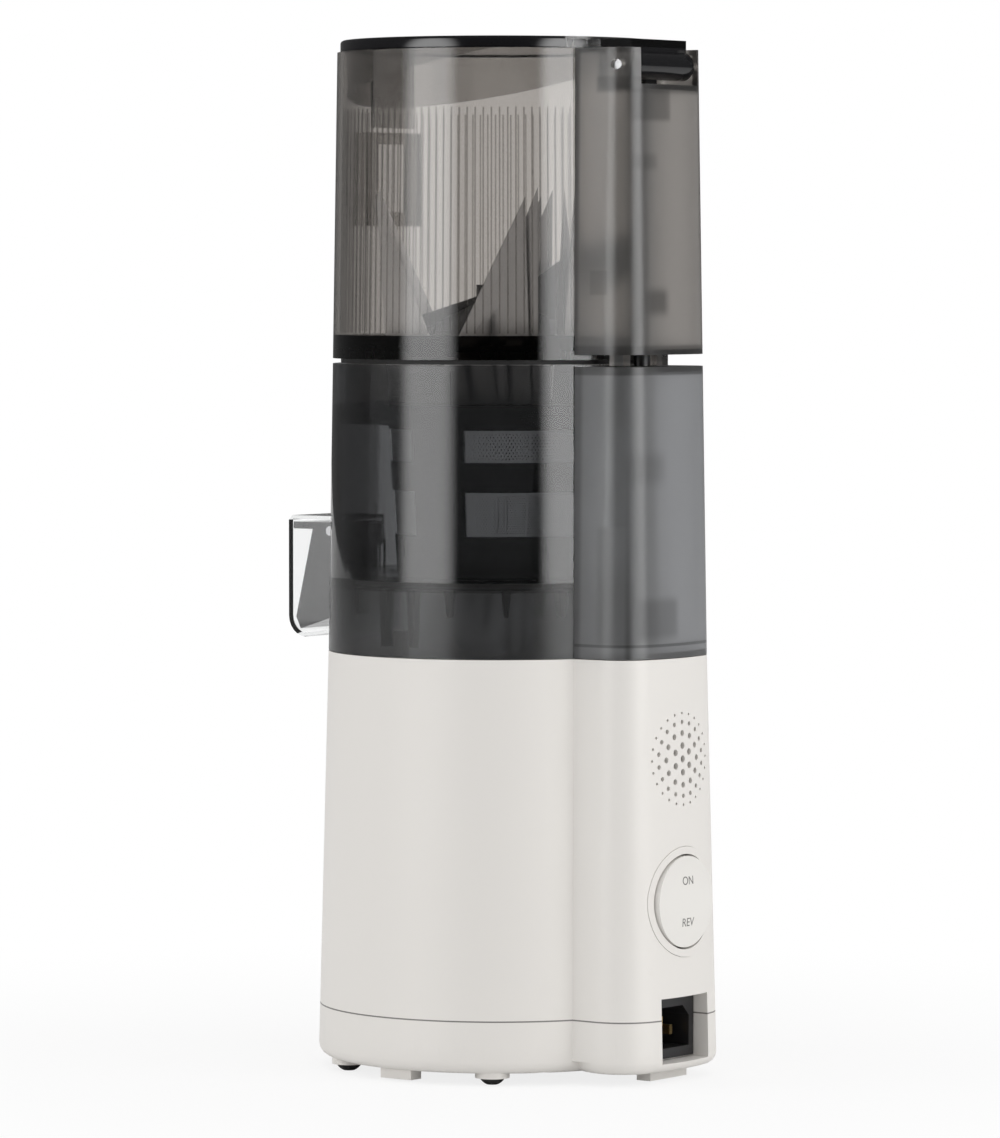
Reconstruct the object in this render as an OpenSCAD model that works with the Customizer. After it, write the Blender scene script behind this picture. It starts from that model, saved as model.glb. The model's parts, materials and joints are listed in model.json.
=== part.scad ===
// Slow screw juicer: a slim motor base, a juicing chamber and a tall hopper under a hinged lid, with a
// rear block that runs the full height. Millimetres, Z up. The table is z = 0, the drive axis is
// x = y = 0, the juice spout faces -Y and the rear block, switch and mains inlet face +Y.

/* [Heights] */
// Rubber that shows below each foot boss
foot_drop = 2.8; // [2.4:0.1:3.6]
// Foot boss below the tray
boss_drop = 2.2; // [1.6:0.1:3]
// Bottom tray
tray_h = 22; // [21:0.5:25]
// Base shell, from the tray to the deck
base_h = 150; // [146:1:165]
// Shadow gap between the deck and the chamber
seam_gap = 0.4; // [0.3:0.1:0.8]
// Chamber skirt below its floor
skirt_h = 31; // [29:0.5:36]
// Chamber wall above its floor
bowl_h = 90.4; // [89:0.2:98]
// Open gap between the chamber rim and the hopper
rim_gap = 2.2; // [1.8:0.1:3]
// Hopper drum
hopper_h = 129; // [120:1:145]
// Lid
lid_h = 4.8; // [4.4:0.1:6]

/* [Plan outline] */
// Drum radius at the deck
seat_r = 71.8; // [71:0.1:73]
// Growth of the outline from the deck down to the tray seam
base_flare = 3.8; // [2.8:0.1:5.2]
// Lean of the outline from the deck up to the hopper's rim
top_taper = 4; // [3.2:0.1:4.8]
// Half width of the rear block at the deck
block_hw = 32.5; // [31:0.5:35]
// Depth of the rear block behind the drum at the deck
block_depth = 23.7; // [22.2:0.1:27]
// Radius of the block's curved back
block_arc = 88; // [78:1:100]
// Radius of the block's upright corners
block_corner = 16; // [14:0.5:17]
// Rounding of the tray's bottom edge
tray_edge = 5; // [3.5:0.5:6]

/* [Walls] */
// Base shell and tray wall
wall = 2.5; // [2:0.1:3]
// Deck of the base shell
deck_t = 3; // [2.5:0.1:4]
// Floor of the tray
tray_t = 2.5; // [2:0.1:3]
// Chamber and hopper drum wall
drum_wall = 2.5; // [2:0.1:3]
// Frosted rear cover wall
cover_wall = 2.2; // [1.8:0.1:2.6]
// Chamber floor
floor_t = 3; // [2.5:0.1:3.5]

/* [Clearances] */
// Radial gap of a shaft in its bearing
run_gap = 0.05; // [0.03:0.01:0.08]
// Gap between pieces that part or slide
slide_gap = 0.3; // [0.25:0.05:0.4]
// Gap around a panel set in its opening
panel_gap = 0.15; // [0.1:0.05:0.25]
// Radial gap of a pressed or screwed fit
fit_gap = 0.02; // [0.01:0.01:0.03]

/* [Feet] */
// Sideways distance of each foot from the middle
foot_x = 54; // [52:0.5:55]
// Fore and aft distance of each foot from the middle
foot_y = 38; // [36:0.5:39]
// Foot radius
foot_pad_r = 5.4; // [4.8:0.1:6]
// Radius of the flat on which the foot stands
foot_flat_r = 2.4; // [1.6:0.1:3.2]
// Foot boss radius
foot_boss_r = 7.2; // [6.8:0.1:7.8]
// Depth of the pocket that holds the foot
foot_pocket = 1.4; // [1:0.1:1.5]
// Length of the levelling bar at each side
side_bar_l = 16; // [12:1:20]
// Length of the levelling bar at the rear
rear_bar_l = 26; // [20:1:30]
// Width of the levelling bars
bar_w = 7; // [5:0.5:8]
// Height of the levelling bars above the table
bar_lift = 0.9; // [0.6:0.1:1.4]

/* [Rear face] */
// Height of the switch above the tray seam
switch_rise = 48.5; // [46:0.5:54]
// Bezel radius
bezel_r = 23; // [22.5:0.1:24]
// Bezel opening radius
bezel_hole_r = 19.9; // [19.7:0.1:20.3]
// Rocker radius
rocker_r = 19.1; // [18.6:0.1:19.2]
// Distance that the rocker stands proud of the shell
rocker_proud = 1.6; // [1:0.1:2]
// Travel of the rocker from its middle position, degrees
rocker_tilt = 6; // [4:0.5:6]
// Height of the vent above the tray seam
vent_rise = 108; // [100:1:112]
// Radius of the sphere that spaces the vent's rings
vent_r = 23; // [20:0.5:24]
// Angle between the vent's rings, degrees
vent_step = 14; // [12:0.5:14.5]
// Rings of holes around the middle hole
vent_rings = 4; // [2:1:4]
// Middle vent hole
vent_d = 3; // [2.4:0.1:3.2]
// Width of the inlet recess
recess_w = 33; // [32:0.5:35]
// Bottom of the inlet recess above the tray's underside
recess_rise = 3.8; // [3.4:0.1:4.5]
// Height of the inlet recess
recess_h = 27.2; // [26.6:0.2:29]
// Depth of the inlet recess from the back of the block
recess_depth = 10.5; // [9:0.5:12]
// Wall of the recess
recess_wall = 2; // [1.6:0.1:2.4]

/* [Drive] */
// Gear module
gear_m = 1; // [1:0.01:1.03]
// Sun gear teeth
sun_teeth = 12; // [12:6:12]
// Planet gear teeth
planet_teeth = 18; // [18:6:18]
// Tooth thinning that leaves the backlash
tooth_play = 0.12; // [0.1:0.01:0.16]
// Face width of the gears
gear_w = 8; // [7:0.5:9]
// Carrier plate thickness
carrier_t = 3.5; // [3:0.5:4]
// Planet pin radius
pin_r = 3; // [2.5:0.1:3.4]
// Motor can radius
can_r = 36; // [34:0.5:39]
// Length of the motor can
can_h = 68; // [64:1:72]
// Motor shaft radius
motor_shaft_r = 4; // [3.5:0.1:4]
// Air gap between rotor and stator
air_gap = 0.7; // [0.5:0.1:1]
// Rotor radius
rotor_r = 20.3; // [18:0.1:21]
// Drive shaft radius
drive_r = 7; // [6.5:0.1:7.2]
// Drive hexagon across flats
hex_af = 12; // [11:0.2:12]
// Height of the drive hexagon above the hub
hex_h = 42; // [38:1:44]
// Height of the deck's hub
hub_h = 15; // [13:0.5:16]

/* [Chamber] */
// Angle between the skirt's ribs, degrees
rib_step = 20; // [18:2:20]
// Strainer radius at its top
strainer_top_r = 46.5; // [45.5:0.1:47]
// Strainer radius at its foot
strainer_foot_r = 42.5; // [42:0.1:43.5]
// Strainer wall
strainer_wall = 2.2; // [1.8:0.1:2.4]
// Steel sheet of the strainer
sheet_t = 0.5; // [0.4:0.1:0.8]
// Angle of each strainer window, degrees
window_angle = 87; // [80:1:92]
// Radius of the screw's flights
flight_r = 39.2; // [38:0.1:39.4]
// Radius of the screw's core at its foot
core_foot_r = 24; // [22:0.5:26]
// Radius of the screw's core at its top
core_top_r = 17; // [15:0.5:19]
// Twist of the screw's flights, degrees
flight_twist = 500; // [400:10:540]
// Radius of the screw's stem
stem_r = 10; // [9.6:0.1:10.4]
// Half width of the juice valve's clear cover
spout_hw = 16; // [15:0.2:17]
// Valve pin in front of the drum at the deck
valve_out = 6.7; // [6.3:0.1:7.1]
// Front of the clear cover in front of the drum at the deck
spout_out = 29.2; // [28.2:0.1:32]
// Height of the cover's top above the chamber's foot
spout_rise = 55; // [54:0.5:57]
// Wall of the clear cover
spout_wall = 1.6; // [1.4:0.1:1.8]
// Width of the pulp duct
duct_w = 30; // [26:1:32]
// Reach of the pulp duct past the drum at the deck
duct_out = 25.2; // [20:0.2:29]
// Direction of the pulp duct, degrees from +X
duct_dir = 205; // [200:1:212]

/* [Hopper and lid] */
// Radius of the hopper's feed opening
feed_r = 46; // [45:0.5:47]
// Step of the lid inside the hopper's rim
lid_step = 1.3; // [0.8:0.1:1.8]
// Lid plate
lid_t = 3; // [2.5:0.1:3.4]
// Slope of the lid skirt's lower edge, degrees
skirt_slope = 12.4; // [10:0.2:13]
// Hinge axis behind the drum at the deck
hinge_out = 10.2; // [9.2:0.2:11.2]
// Hinge axis below the hopper's rim
hinge_drop = 7; // [6.8:0.1:7.4]
// Hinge barrel radius
barrel_r = 6; // [5.6:0.1:6]
// Hinge pin radius
hinge_pin_r = 2.1; // [1.8:0.1:2.4]
// Half width of the hinge recess
hinge_hw = 20; // [18:0.5:20.5]
// Interlock rod behind the drum at the deck
rod_out = 3.7; // [3.5:0.1:3.9]
// Interlock rod radius
rod_r = 3.5; // [3:0.1:3.5]
// Interlock rod travel
rod_travel = 2; // [1.4:0.1:2]

/* [Hidden] */
$fn = 96;

lap = 1;                 // cutters run this far past the faces that they open
corner_lap = 0.03;       // the corner cones stand this proud, so that their faces cross the sides cleanly

// Levels
tray_z = foot_drop + boss_drop;
shell_z = tray_z + tray_h;
deck_z = shell_z + base_h;
chamber_z = deck_z + seam_gap;
floor_z = chamber_z + skirt_h;
chamber_top = floor_z + bowl_h;
hopper_z = chamber_top + rim_gap;
rim_z = hopper_z + hopper_h;
lid_z = rim_z + 0.2;
lid_top = lid_z + lid_h;

// The outline leans in all the way up, a little more below the deck than above it.
seam_r = seat_r + base_flare;
rim_r = seat_r - top_taper;
block_y = seat_r + block_depth;
spout_y = seat_r + spout_out;
valve_y = -seat_r - valve_out;
duct_reach = seat_r + duct_out;
hinge_y = seat_r + hinge_out;
rod_y = seat_r + rod_out;
lid_r = rim_r - lid_step;
arc_y = block_y - block_arc;
corner_x = block_hw - block_corner;
corner_y = arc_y + sqrt(pow(block_arc - block_corner, 2) - pow(corner_x, 2));
function swell(z) = z < deck_z ? base_flare * (deck_z - z) / base_h
                               : -top_taper * (z - deck_z) / (rim_z - deck_z);
function drum_r(z) = seat_r + swell(z);
function back_y(z) = block_y + swell(z);

module lean_cone(r, z0, z1, in0, in1) {
    translate([0, 0, z0]) cylinder(h = z1 - z0, r1 = r + swell(z0) - in0, r2 = r + swell(z1) - in1);
}
module lean_side(z0, z1, in0, in1) {
    x0 = block_hw + swell(z0) - in0;
    lean = atan((block_hw + swell(z1) - in1 - x0) / (z1 - z0));
    reach = 4 * block_hw;
    translate([x0, 0, z0]) rotate([0, lean, 0])
        translate([-reach, 0, z0 - z1]) cube([reach, corner_y, 3 * (z1 - z0)]);
}
module block_form(z0, z1, in0, in1) {
    intersection() {
        lean_side(z0, z1, in0, in1);
        mirror([1, 0, 0]) lean_side(z0, z1, in0, in1);
        translate([-2 * block_hw, 0, z0]) cube([4 * block_hw, corner_y, z1 - z0]);
    }
    for (side = [-1, 1])
        translate([side * corner_x, corner_y, 0]) lean_cone(block_corner + corner_lap, z0, z1, in0, in1);
    intersection() {
        translate([0, arc_y, 0]) lean_cone(block_arc, z0, z1, in0, in1);
        translate([0, 0, z0]) linear_extrude(z1 - z0)
            polygon([[0, arc_y], for (side = [1, -1]) [3 * side * corner_x, 3 * corner_y - 2 * arc_y]]);
    }
}
module drum_form(z0, z1, inset = 0) { lean_cone(seat_r, z0, z1, inset, inset); }
module body_form(z0, z1, in0 = 0, in1 = 0) {
    lean_cone(seat_r, z0, z1, in0, in1);
    block_form(z0, z1, in0, in1);
}

// Small helpers
module at_ring(n, r, start = 0) {
    for (i = [0 : n - 1]) rotate(start + 360 / n * i) translate([r, 0, 0]) children();
}
module at_corners(x, y) {
    for (sx = [-1, 1], sy = [-1, 1]) translate([sx * x, sy * y, 0]) children();
}
module tube(r_out, r_in, z0, z1) {
    difference() {
        translate([0, 0, z0]) cylinder(r = r_out, h = z1 - z0);
        translate([0, 0, z0 - lap]) cylinder(r = r_in, h = z1 - z0 + 2 * lap);
    }
}
module rod(r, z0, z1) { translate([0, 0, z0]) cylinder(r = r, h = z1 - z0); }
module rear_rod(r, y0, y1) { translate([0, y0, 0]) rotate([-90, 0, 0]) cylinder(r = r, h = y1 - y0); }
module cross_rod(r, x0, x1) { translate([x0, 0, 0]) rotate([0, 90, 0]) cylinder(r = r, h = x1 - x0); }
module box(x0, x1, y0, y1, z0, z1) { translate([x0, y0, z0]) cube([x1 - x0, y1 - y0, z1 - z0]); }
// A profile of [y, z] points, as wide as w about x = 0
module side_profile(points, w) {
    translate([-w / 2, 0, 0]) rotate([90, 0, 90]) linear_extrude(w) polygon(points);
}
module sector(a0, a1, r, z0, z1) {
    mid = (a0 + a1) / 2;
    translate([0, 0, z0]) linear_extrude(z1 - z0)
        polygon([[0, 0], for (a = [a0, mid, a1]) [2 * r * cos(a), 2 * r * sin(a)]]);
}
module screw(head_r, head_h, shank_r, length) {
    rod(head_r, 0, head_h);
    rod(shank_r, head_h, head_h + length);
}

// Base shell and tray
post_r = 4.4;
post_ring = seam_r - wall - post_r + 1;
post_angle = 52;
post_h = 30;
screw_head_r = 3.3;
screw_head_h = 2.4;
screw_r = 1.5;
screw_sink = 6;
lug_w = 5;
lug_t = 4;
lug_h = 11;
hub_r = 20;
bushing_r = 10;
hub_top = deck_z + hub_h;
recess_y = block_y - recess_depth + swell(shell_z);
recess_z = tray_z + recess_rise;
recess_top = recess_z + recess_h;
switch_z = shell_z + switch_rise;
vent_z = shell_z + vent_rise;

module at_posts() { for (a = [post_angle, 180 - post_angle, 180 + post_angle, -post_angle])
    rotate(a) translate([post_ring, 0, 0]) children(); }
module recess_box(grow, z0, z1) {
    box(-recess_w / 2 - grow, recess_w / 2 + grow, recess_y - grow, recess_y + 4 * recess_depth, z0, z1);
}
module recess_cut() {
    recess_box(0, recess_z, recess_top);
    inlet_body(panel_gap);
}
module vent_holes() {
    for (k = [0 : vent_rings], i = [0 : max(1, 6 * k) - 1])
        translate([0, 0, vent_z]) rotate([0, 60 / max(1, k) * i, 0])
            translate([0, 0, vent_r * sin(vent_step * k)])
                rear_rod(vent_d / 2 * cos(16.5 * k), corner_y, back_y(shell_z) + lap);
}
module base_shell() {
    color("whitesmoke") difference() {
        union() {
            difference() {
                body_form(shell_z, deck_z);
                body_form(shell_z - lap, deck_z - deck_t, wall, wall);
            }
            intersection() {
                body_form(shell_z, deck_z);
                union() {
                    recess_box(recess_wall, shell_z, recess_top + recess_wall);
                    at_posts() rod(post_r, shell_z, shell_z + post_h);
                }
            }
            rod(hub_r, deck_z - deck_t - lap, hub_top);
            at_ring(4, gear_post_ring, 45) rod(gear_post_r, gear_top, deck_z - deck_t / 2);
            for (side = [0, 180]) rotate(side)
                box(seat_r - drum_wall - slide_gap - lug_t - 1, seat_r - drum_wall - slide_gap - 1,
                    -lug_w / 2, lug_w / 2, deck_z - lap, deck_z + lug_h);
            interlock_bracket();
        }
        rod(bushing_r + fit_gap, deck_z - deck_t - 2 * lap, hub_top + lap);
        translate([0, rod_y, 0]) rod(rod_r + slide_gap, deck_z - deck_t - lap, deck_z + lap);
        translate([0, 0, switch_z]) rear_rod(bezel_r + panel_gap, corner_y, back_y(shell_z) + lap);
        vent_holes();
        recess_cut();
        at_posts() rod(screw_r + fit_gap, shell_z - lap, shell_z + post_h - 4);
        at_ring(4, gear_post_ring, 45) rod(screw_r + fit_gap, gear_top - lap, deck_z - deck_t);
    }
}
edge_steps = 4;
function edge_in(k) = tray_edge * (1 - sin(90 / edge_steps * k));
// rounded to a hundredth, so that each step ends exactly where the next one starts
function edge_up(k) = round(100 * tray_edge * (1 - cos(90 / edge_steps * k))) / 100;
bar_y = block_y - bar_w / 2 - tray_edge - 1;
bar_x = seam_r - bar_w / 2 - tray_edge;
module base_tray() {
    color("whitesmoke") difference() {
        union() {
            difference() {
                union() {
                    body_form(tray_z + tray_edge, shell_z);
                    for (k = [0 : edge_steps - 1])
                        body_form(tray_z + edge_up(k), tray_z + edge_up(k + 1), edge_in(k), edge_in(k + 1));
                }
                body_form(tray_z + tray_t, shell_z + lap, wall + 1.5, wall);
            }
            intersection() {
                body_form(tray_z + tray_edge / 2, shell_z, 1, 0);
                union() {
                    recess_box(recess_wall, recess_z - recess_wall, shell_z);
                    at_posts() rod(post_r, tray_z + tray_edge / 2, shell_z);
                }
            }
            at_corners(foot_x, foot_y) rod(foot_boss_r, foot_drop, tray_z + tray_t);
            at_corners(board_x - 4, board_y - 4) rod(board_post_r, tray_z + tray_t / 2, board_z);
            for (side = [-1, 1]) box(side * bar_x - bar_w / 2, side * bar_x + bar_w / 2,
                                     -side_bar_l / 2, side_bar_l / 2, bar_lift, tray_z + tray_t);
            box(-rear_bar_l / 2, rear_bar_l / 2, bar_y - bar_w / 2, bar_y + bar_w / 2,
                bar_lift, tray_z + tray_t);
        }
        at_corners(foot_x, foot_y) rod(foot_pad_r + panel_gap, foot_drop - lap, foot_drop + foot_pocket);
        at_posts() {
            rod(screw_head_r + panel_gap, tray_z - lap, tray_z + screw_sink);
            rod(screw_r + panel_gap, tray_z, shell_z + lap);
        }
        at_corners(board_x - 4, board_y - 4)
            rod(board_screw_r + fit_gap, tray_z + tray_t + 1, board_z + lap);
        recess_cut();
    }
}
module feet() {
    dome_z = (pow(foot_pad_r, 2) + pow(foot_drop, 2) - pow(foot_flat_r, 2)) / (2 * foot_drop);
    color("black") at_corners(foot_x, foot_y) intersection() {
        translate([0, 0, dome_z]) sphere(norm([dome_z, foot_flat_r]));
        rod(foot_pad_r, 0, foot_drop + foot_pocket);
    }
}
module tray_screws() {
    color("silver") at_posts() translate([0, 0, tray_z + screw_sink - screw_head_h])
        screw(screw_head_r, screw_head_h, screw_r, tray_h - screw_sink + 14);
}

// Switch
rocker_y = back_y(switch_z) + rocker_proud;
pivot_y = rocker_y - 8.5;
cup_t = 2;
cup_y = pivot_y - 7;
axle_r = 2;
ear_in = 5.5;
ear_out = 8;
module switch_bezel() {
    color("whitesmoke") translate([0, 0, switch_z]) {
        difference() {
            union() {
                intersection() {
                    rear_rod(bezel_r, cup_y, back_y(shell_z) + lap);
                    translate([0, 0, -switch_z])
                        body_form(switch_z - bezel_r, switch_z + bezel_r, -0.3, -0.3);
                }
            }
            rear_rod(bezel_hole_r, cup_y + cup_t, back_y(shell_z) + 2 * lap);
            box(-switch_hw - panel_gap, switch_hw + panel_gap, cup_y - lap, cup_y + cup_t + lap,
                -switch_hh - panel_gap, switch_hh + panel_gap);
        }
    }
}
switch_hw = 12;
switch_hh = 14;
module switch_rocker() {
    dome_r = 150;
    color("white") translate([0, 0, switch_z]) {
        intersection() {
            rear_rod(rocker_r, pivot_y + 2.5, rocker_y + lap);
            translate([0, rocker_y - dome_r, 0]) sphere(dome_r, $fn = 400);
        }
        box(-ear_in + slide_gap, ear_in - slide_gap, pivot_y - axle_r, pivot_y + 4, -axle_r, axle_r);
        translate([0, pivot_y, 0]) cross_rod(axle_r, -ear_out, ear_out);
    }
}
module switch_body() {
    color("dimgray") translate([0, 0, switch_z]) {
        box(-switch_hw, switch_hw, cup_y - 16, cup_y + cup_t, -switch_hh, switch_hh);
        for (side = [-1, 1]) difference() {
            box(side * (ear_in + ear_out) / 2 - (ear_out - ear_in) / 2,
                side * (ear_in + ear_out) / 2 + (ear_out - ear_in) / 2, cup_y, pivot_y + 2, -4, 4);
            translate([0, pivot_y, 0]) cross_rod(axle_r + run_gap, -2 * ear_out, 2 * ear_out);
        }
        for (z = [-8, 0, 8]) box(-3, 3, cup_y - 22, cup_y - 15, z - 0.4, z + 0.4);
    }
}

// Mains inlet
inlet_z = recess_z + recess_h / 2;
inlet_flange_t = 2.4;
inlet_hw = 13.6;
inlet_hh = 10.4;
socket_hw = 12.2;
socket_hh = 8.6;
socket_chamfer = 4.5;
inlet_back = recess_y - 20;
module inlet_body(grow) {
    box(-inlet_hw - grow, inlet_hw + grow, inlet_back - grow, recess_y + lap,
        inlet_z - inlet_hh - grow, inlet_z + inlet_hh + grow);
}
module power_inlet() {
    color("black") difference() {
        union() {
            inlet_body(0);
            box(-recess_w / 2 + 1, recess_w / 2 - 1, recess_y, recess_y + inlet_flange_t,
                recess_z + 0.8, recess_top - 0.8);
        }
        translate([0, recess_y + inlet_flange_t + lap, inlet_z]) rotate([90, 0, 0])
            linear_extrude(17 + lap) polygon([
                [-socket_hw, -socket_hh], [socket_hw, -socket_hh], [socket_hw, socket_hh - socket_chamfer],
                [socket_hw - socket_chamfer, socket_hh], [socket_chamfer - socket_hw, socket_hh],
                [-socket_hw, socket_hh - socket_chamfer]]);
        inlet_pin_set(0);
    }
}
module inlet_pin_set(grow) {
    for (p = [[-7, -2], [0, 2], [7, -2]])
        box(p[0] - 1 - grow, p[0] + 1 + grow, inlet_back - 6, recess_y + inlet_flange_t - 5.5,
            inlet_z + p[1] - 2 - grow, inlet_z + p[1] + 2 + grow);
}
module inlet_pins() { color("silver") inlet_pin_set(0); }

// Gear train: two like planetary stages in one long ring gear
ring_teeth = sun_teeth + 2 * planet_teeth;
sun_pitch_r = gear_m * sun_teeth / 2;
planet_pitch_r = gear_m * planet_teeth / 2;
orbit_r = sun_pitch_r + planet_pitch_r;
ring_pitch_r = gear_m * ring_teeth / 2;
tooth_tip = 0.8 * gear_m;
tooth_root = gear_m;
pressure = 20;
flank_points = 3;
function involute(a) = tan(a) * 180 / PI - a;
function tooth_half(r, pitch_r, thick) =
    thick / pitch_r * 90 / PI + involute(pressure)
    - involute(acos(min(1, pitch_r * cos(pressure) / r)));
// Outline of n teeth with the given thickness on the pitch circle
module gear_outline(n, thick, tip_r, root_r) {
    pitch_r = gear_m * n / 2;
    start_r = max(root_r, pitch_r * cos(pressure));
    radii = [for (k = [0 : flank_points]) start_r + (tip_r - start_r) * k / flank_points];
    flank = [if (start_r > root_r) [root_r, tooth_half(start_r, pitch_r, thick)],
             for (r = radii) [r, tooth_half(r, pitch_r, thick)]];
    last = len(flank) - 1;
    polygon([for (i = [0 : n - 1]) let (mid = 360 / n * i) each concat(
        [for (k = [0 : last]) flank[k][0] * [cos(mid - flank[k][1]), sin(mid - flank[k][1])]],
        [for (k = [last : -1 : 0]) flank[k][0] * [cos(mid + flank[k][1]), sin(mid + flank[k][1])]])]);
}
module outer_gear(n, z0, z1) {
    translate([0, 0, z0]) linear_extrude(z1 - z0)
        gear_outline(n, PI * gear_m / 2 - tooth_play, gear_m * n / 2 + tooth_tip,
                     gear_m * n / 2 - tooth_root);
}

// The gearbox hangs from posts under the deck, and the motor hangs from the gearbox
gear_post_ring = 39;
gear_post_r = 4.4;
flange_t = 4;
gear_gap = 0.5;
bearing_r = 16;
bearing_h = 10;
bearing_lip = 1.5;
case_wall = 4;
case_r = ring_pitch_r + tooth_root + case_wall + 2;
gear_top = deck_z - deck_t - 8;
case_top = gear_top - flange_t;
second_plate_top = gear_top - bearing_lip - bearing_h - gear_gap;
second_gear_top = second_plate_top - carrier_t - gear_gap;
second_gear_z = second_gear_top - gear_w;
first_plate_top = second_gear_z - gear_gap;
first_gear_top = first_plate_top - carrier_t - gear_gap;
first_gear_z = first_gear_top - gear_w;
case_z = first_gear_z - gear_gap;
cover_t = 3;
motor_top = case_z - cover_t;
motor_z = motor_top - can_h;
cap_t = 3;
small_bearing_r = 11;
small_bearing_h = 7;
module gearbox_housing() {
    color("darkgray") difference() {
        union() {
            rod(case_r, case_z, gear_top);
            rod(gear_post_ring + 6, case_top, gear_top);
        }
        translate([0, 0, case_z - lap]) linear_extrude(second_plate_top - case_z + gear_gap + lap)
            rotate(180 / ring_teeth) gear_outline(ring_teeth, PI * gear_m / 2 + tooth_play,
                                                  ring_pitch_r + tooth_root, ring_pitch_r - tooth_tip);
        rod(bearing_r + fit_gap, second_plate_top, gear_top - bearing_lip);
        rod(drive_r + 1, gear_top - 2, gear_top + lap);
        at_ring(4, gear_post_ring, 45) rod(screw_r + panel_gap, case_top - lap, gear_top + lap);
        at_ring(3, case_r - 3, 30) rod(screw_r + fit_gap, case_z - lap, case_z + 12);
    }
}
module gearbox_cover() {
    color("darkgray") difference() {
        rod(case_r, motor_top, case_z);
        rod(motor_shaft_r + 2, motor_top - lap, case_z + lap);
        at_ring(3, case_r - 3, 30) rod(screw_r + panel_gap, motor_top - lap, case_z + lap);
    }
}
module gearbox_screws() {
    color("silver") {
        at_ring(4, gear_post_ring, 45) translate([0, 0, case_top - screw_head_h])
            screw(screw_head_r - 0.3, screw_head_h, screw_r, flange_t + 7);
        at_ring(3, case_r - 3, 30) translate([0, 0, motor_top - cap_t])
            screw(screw_head_r - 0.9, cap_t, screw_r, cover_t + 10);
    }
}
module output_bearing() {
    color("silver") tube(bearing_r, drive_r + run_gap, gear_top - bearing_lip - bearing_h,
                         gear_top - bearing_lip);
}
module motor_can() {
    color("silver") difference() {
        rod(can_r, motor_z, motor_top);
        rod(can_r - 2, motor_z - lap, motor_top - cap_t);
        rod(small_bearing_r + fit_gap, motor_top - cap_t - lap, motor_top + lap);
        at_ring(3, case_r - 3, 30) rod(screw_head_r, motor_top - cap_t - lap, motor_top + lap);
        at_ring(8, can_r, 22.5) for (z = [motor_z + 6, motor_top - 16])
            box(-3, 3, -4, 4, z, z + 8);
    }
    color("silver") tube(small_bearing_r + 2.5, small_bearing_r + fit_gap,
                         motor_top - small_bearing_h, motor_top - cap_t + 0.5);
}
module motor_end_cap() {
    color("silver") difference() {
        union() {
            rod(can_r, motor_z - cap_t, motor_z);
            rod(small_bearing_r + 2.5, motor_z - cap_t, motor_z + small_bearing_h - cap_t);
            tube(can_r - 2 - panel_gap, can_r - 5, motor_z - cap_t, motor_z + 3);
        }
        rod(small_bearing_r + fit_gap, motor_z - cap_t - lap, motor_z + small_bearing_h);
    }
}
module motor_bearings() {
    color("silver") {
        tube(small_bearing_r, motor_shaft_r + run_gap, motor_top - small_bearing_h, motor_top);
        tube(small_bearing_r, motor_shaft_r + run_gap, motor_z - cap_t, motor_z - cap_t + small_bearing_h);
    }
}
core_h = can_h - 30;
core_z = motor_z + 15;
slots = 12;
module stator_core() {
    color("slategray") difference() {
        rod(can_r - 2 - fit_gap, core_z, core_z + core_h);
        rod(rotor_r + air_gap, core_z - lap, core_z + core_h + lap);
        at_ring(slots, rotor_r + air_gap + 6) box(-4, 4, -2.2, 2.2, core_z - lap, core_z + core_h + lap);
    }
}
module stator_windings() {
    color("peru") {
        for (z = [core_z - 7, core_z + core_h]) difference() {
            rod(rotor_r + air_gap + 11, z, z + 7);
            rod(rotor_r + air_gap + 1.5, z - lap, z + 7 + lap);
        }
        at_ring(slots, rotor_r + air_gap + 6)
            box(-3.6, 3.6, -1.8, 1.8, core_z, core_z + core_h);
    }
}
module motor_shaft() {
    color("silver") rod(motor_shaft_r, motor_z - cap_t - 12, first_gear_top);
}
module rotor() { color("gray") tube(rotor_r, motor_shaft_r + fit_gap, core_z, core_z + core_h); }
fan_r = 29;
fan_h = 8;
fan_z = motor_z - cap_t - 11;
module cooling_fan() {
    color("dimgray") {
        difference() {
            union() {
                rod(8, fan_z, fan_z + fan_h);
                rod(fan_r, fan_z, fan_z + 1.5);
            }
            rod(motor_shaft_r + fit_gap, fan_z - lap, fan_z + fan_h + lap);
        }
        at_ring(9, 0) translate([7, 0, 0]) rotate(25) box(0, fan_r - 10, -0.7, 0.7, fan_z + 1, fan_z + fan_h);
    }
}
module motor_pinion() {
    color("goldenrod") difference() {
        outer_gear(sun_teeth, first_gear_z, first_gear_top);
        rod(motor_shaft_r + fit_gap, first_gear_z - lap, first_gear_top + lap);
    }
}
module planet(i, z0) {
    color("ivory") rotate(120 * i) translate([orbit_r, 0, 0]) difference() {
        rotate(180 / planet_teeth) outer_gear(planet_teeth, z0, z0 + gear_w);
        rod(pin_r + run_gap, z0 - lap, z0 + gear_w + lap);
    }
}
module first_planet_a() { planet(0, first_gear_z); }
module first_planet_b() { planet(1, first_gear_z); }
module first_planet_c() { planet(2, first_gear_z); }
module second_planet_a() { planet(0, second_gear_z); }
module second_planet_b() { planet(1, second_gear_z); }
module second_planet_c() { planet(2, second_gear_z); }
module carrier(gear_z, plate_z) {
    rod(orbit_r + pin_r + 2, plate_z, plate_z + carrier_t);
    at_ring(3, orbit_r) rod(pin_r, gear_z, plate_z + carrier_t / 2);
}
module first_carrier() {
    color("silver") {
        carrier(first_gear_z, first_gear_top + gear_gap);
        outer_gear(sun_teeth, first_plate_top - lap / 2, second_gear_top);
    }
}
module drive_hex(af, z0, z1) { translate([0, 0, z0]) cylinder(d = af / cos(30), h = z1 - z0, $fn = 6); }
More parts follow.
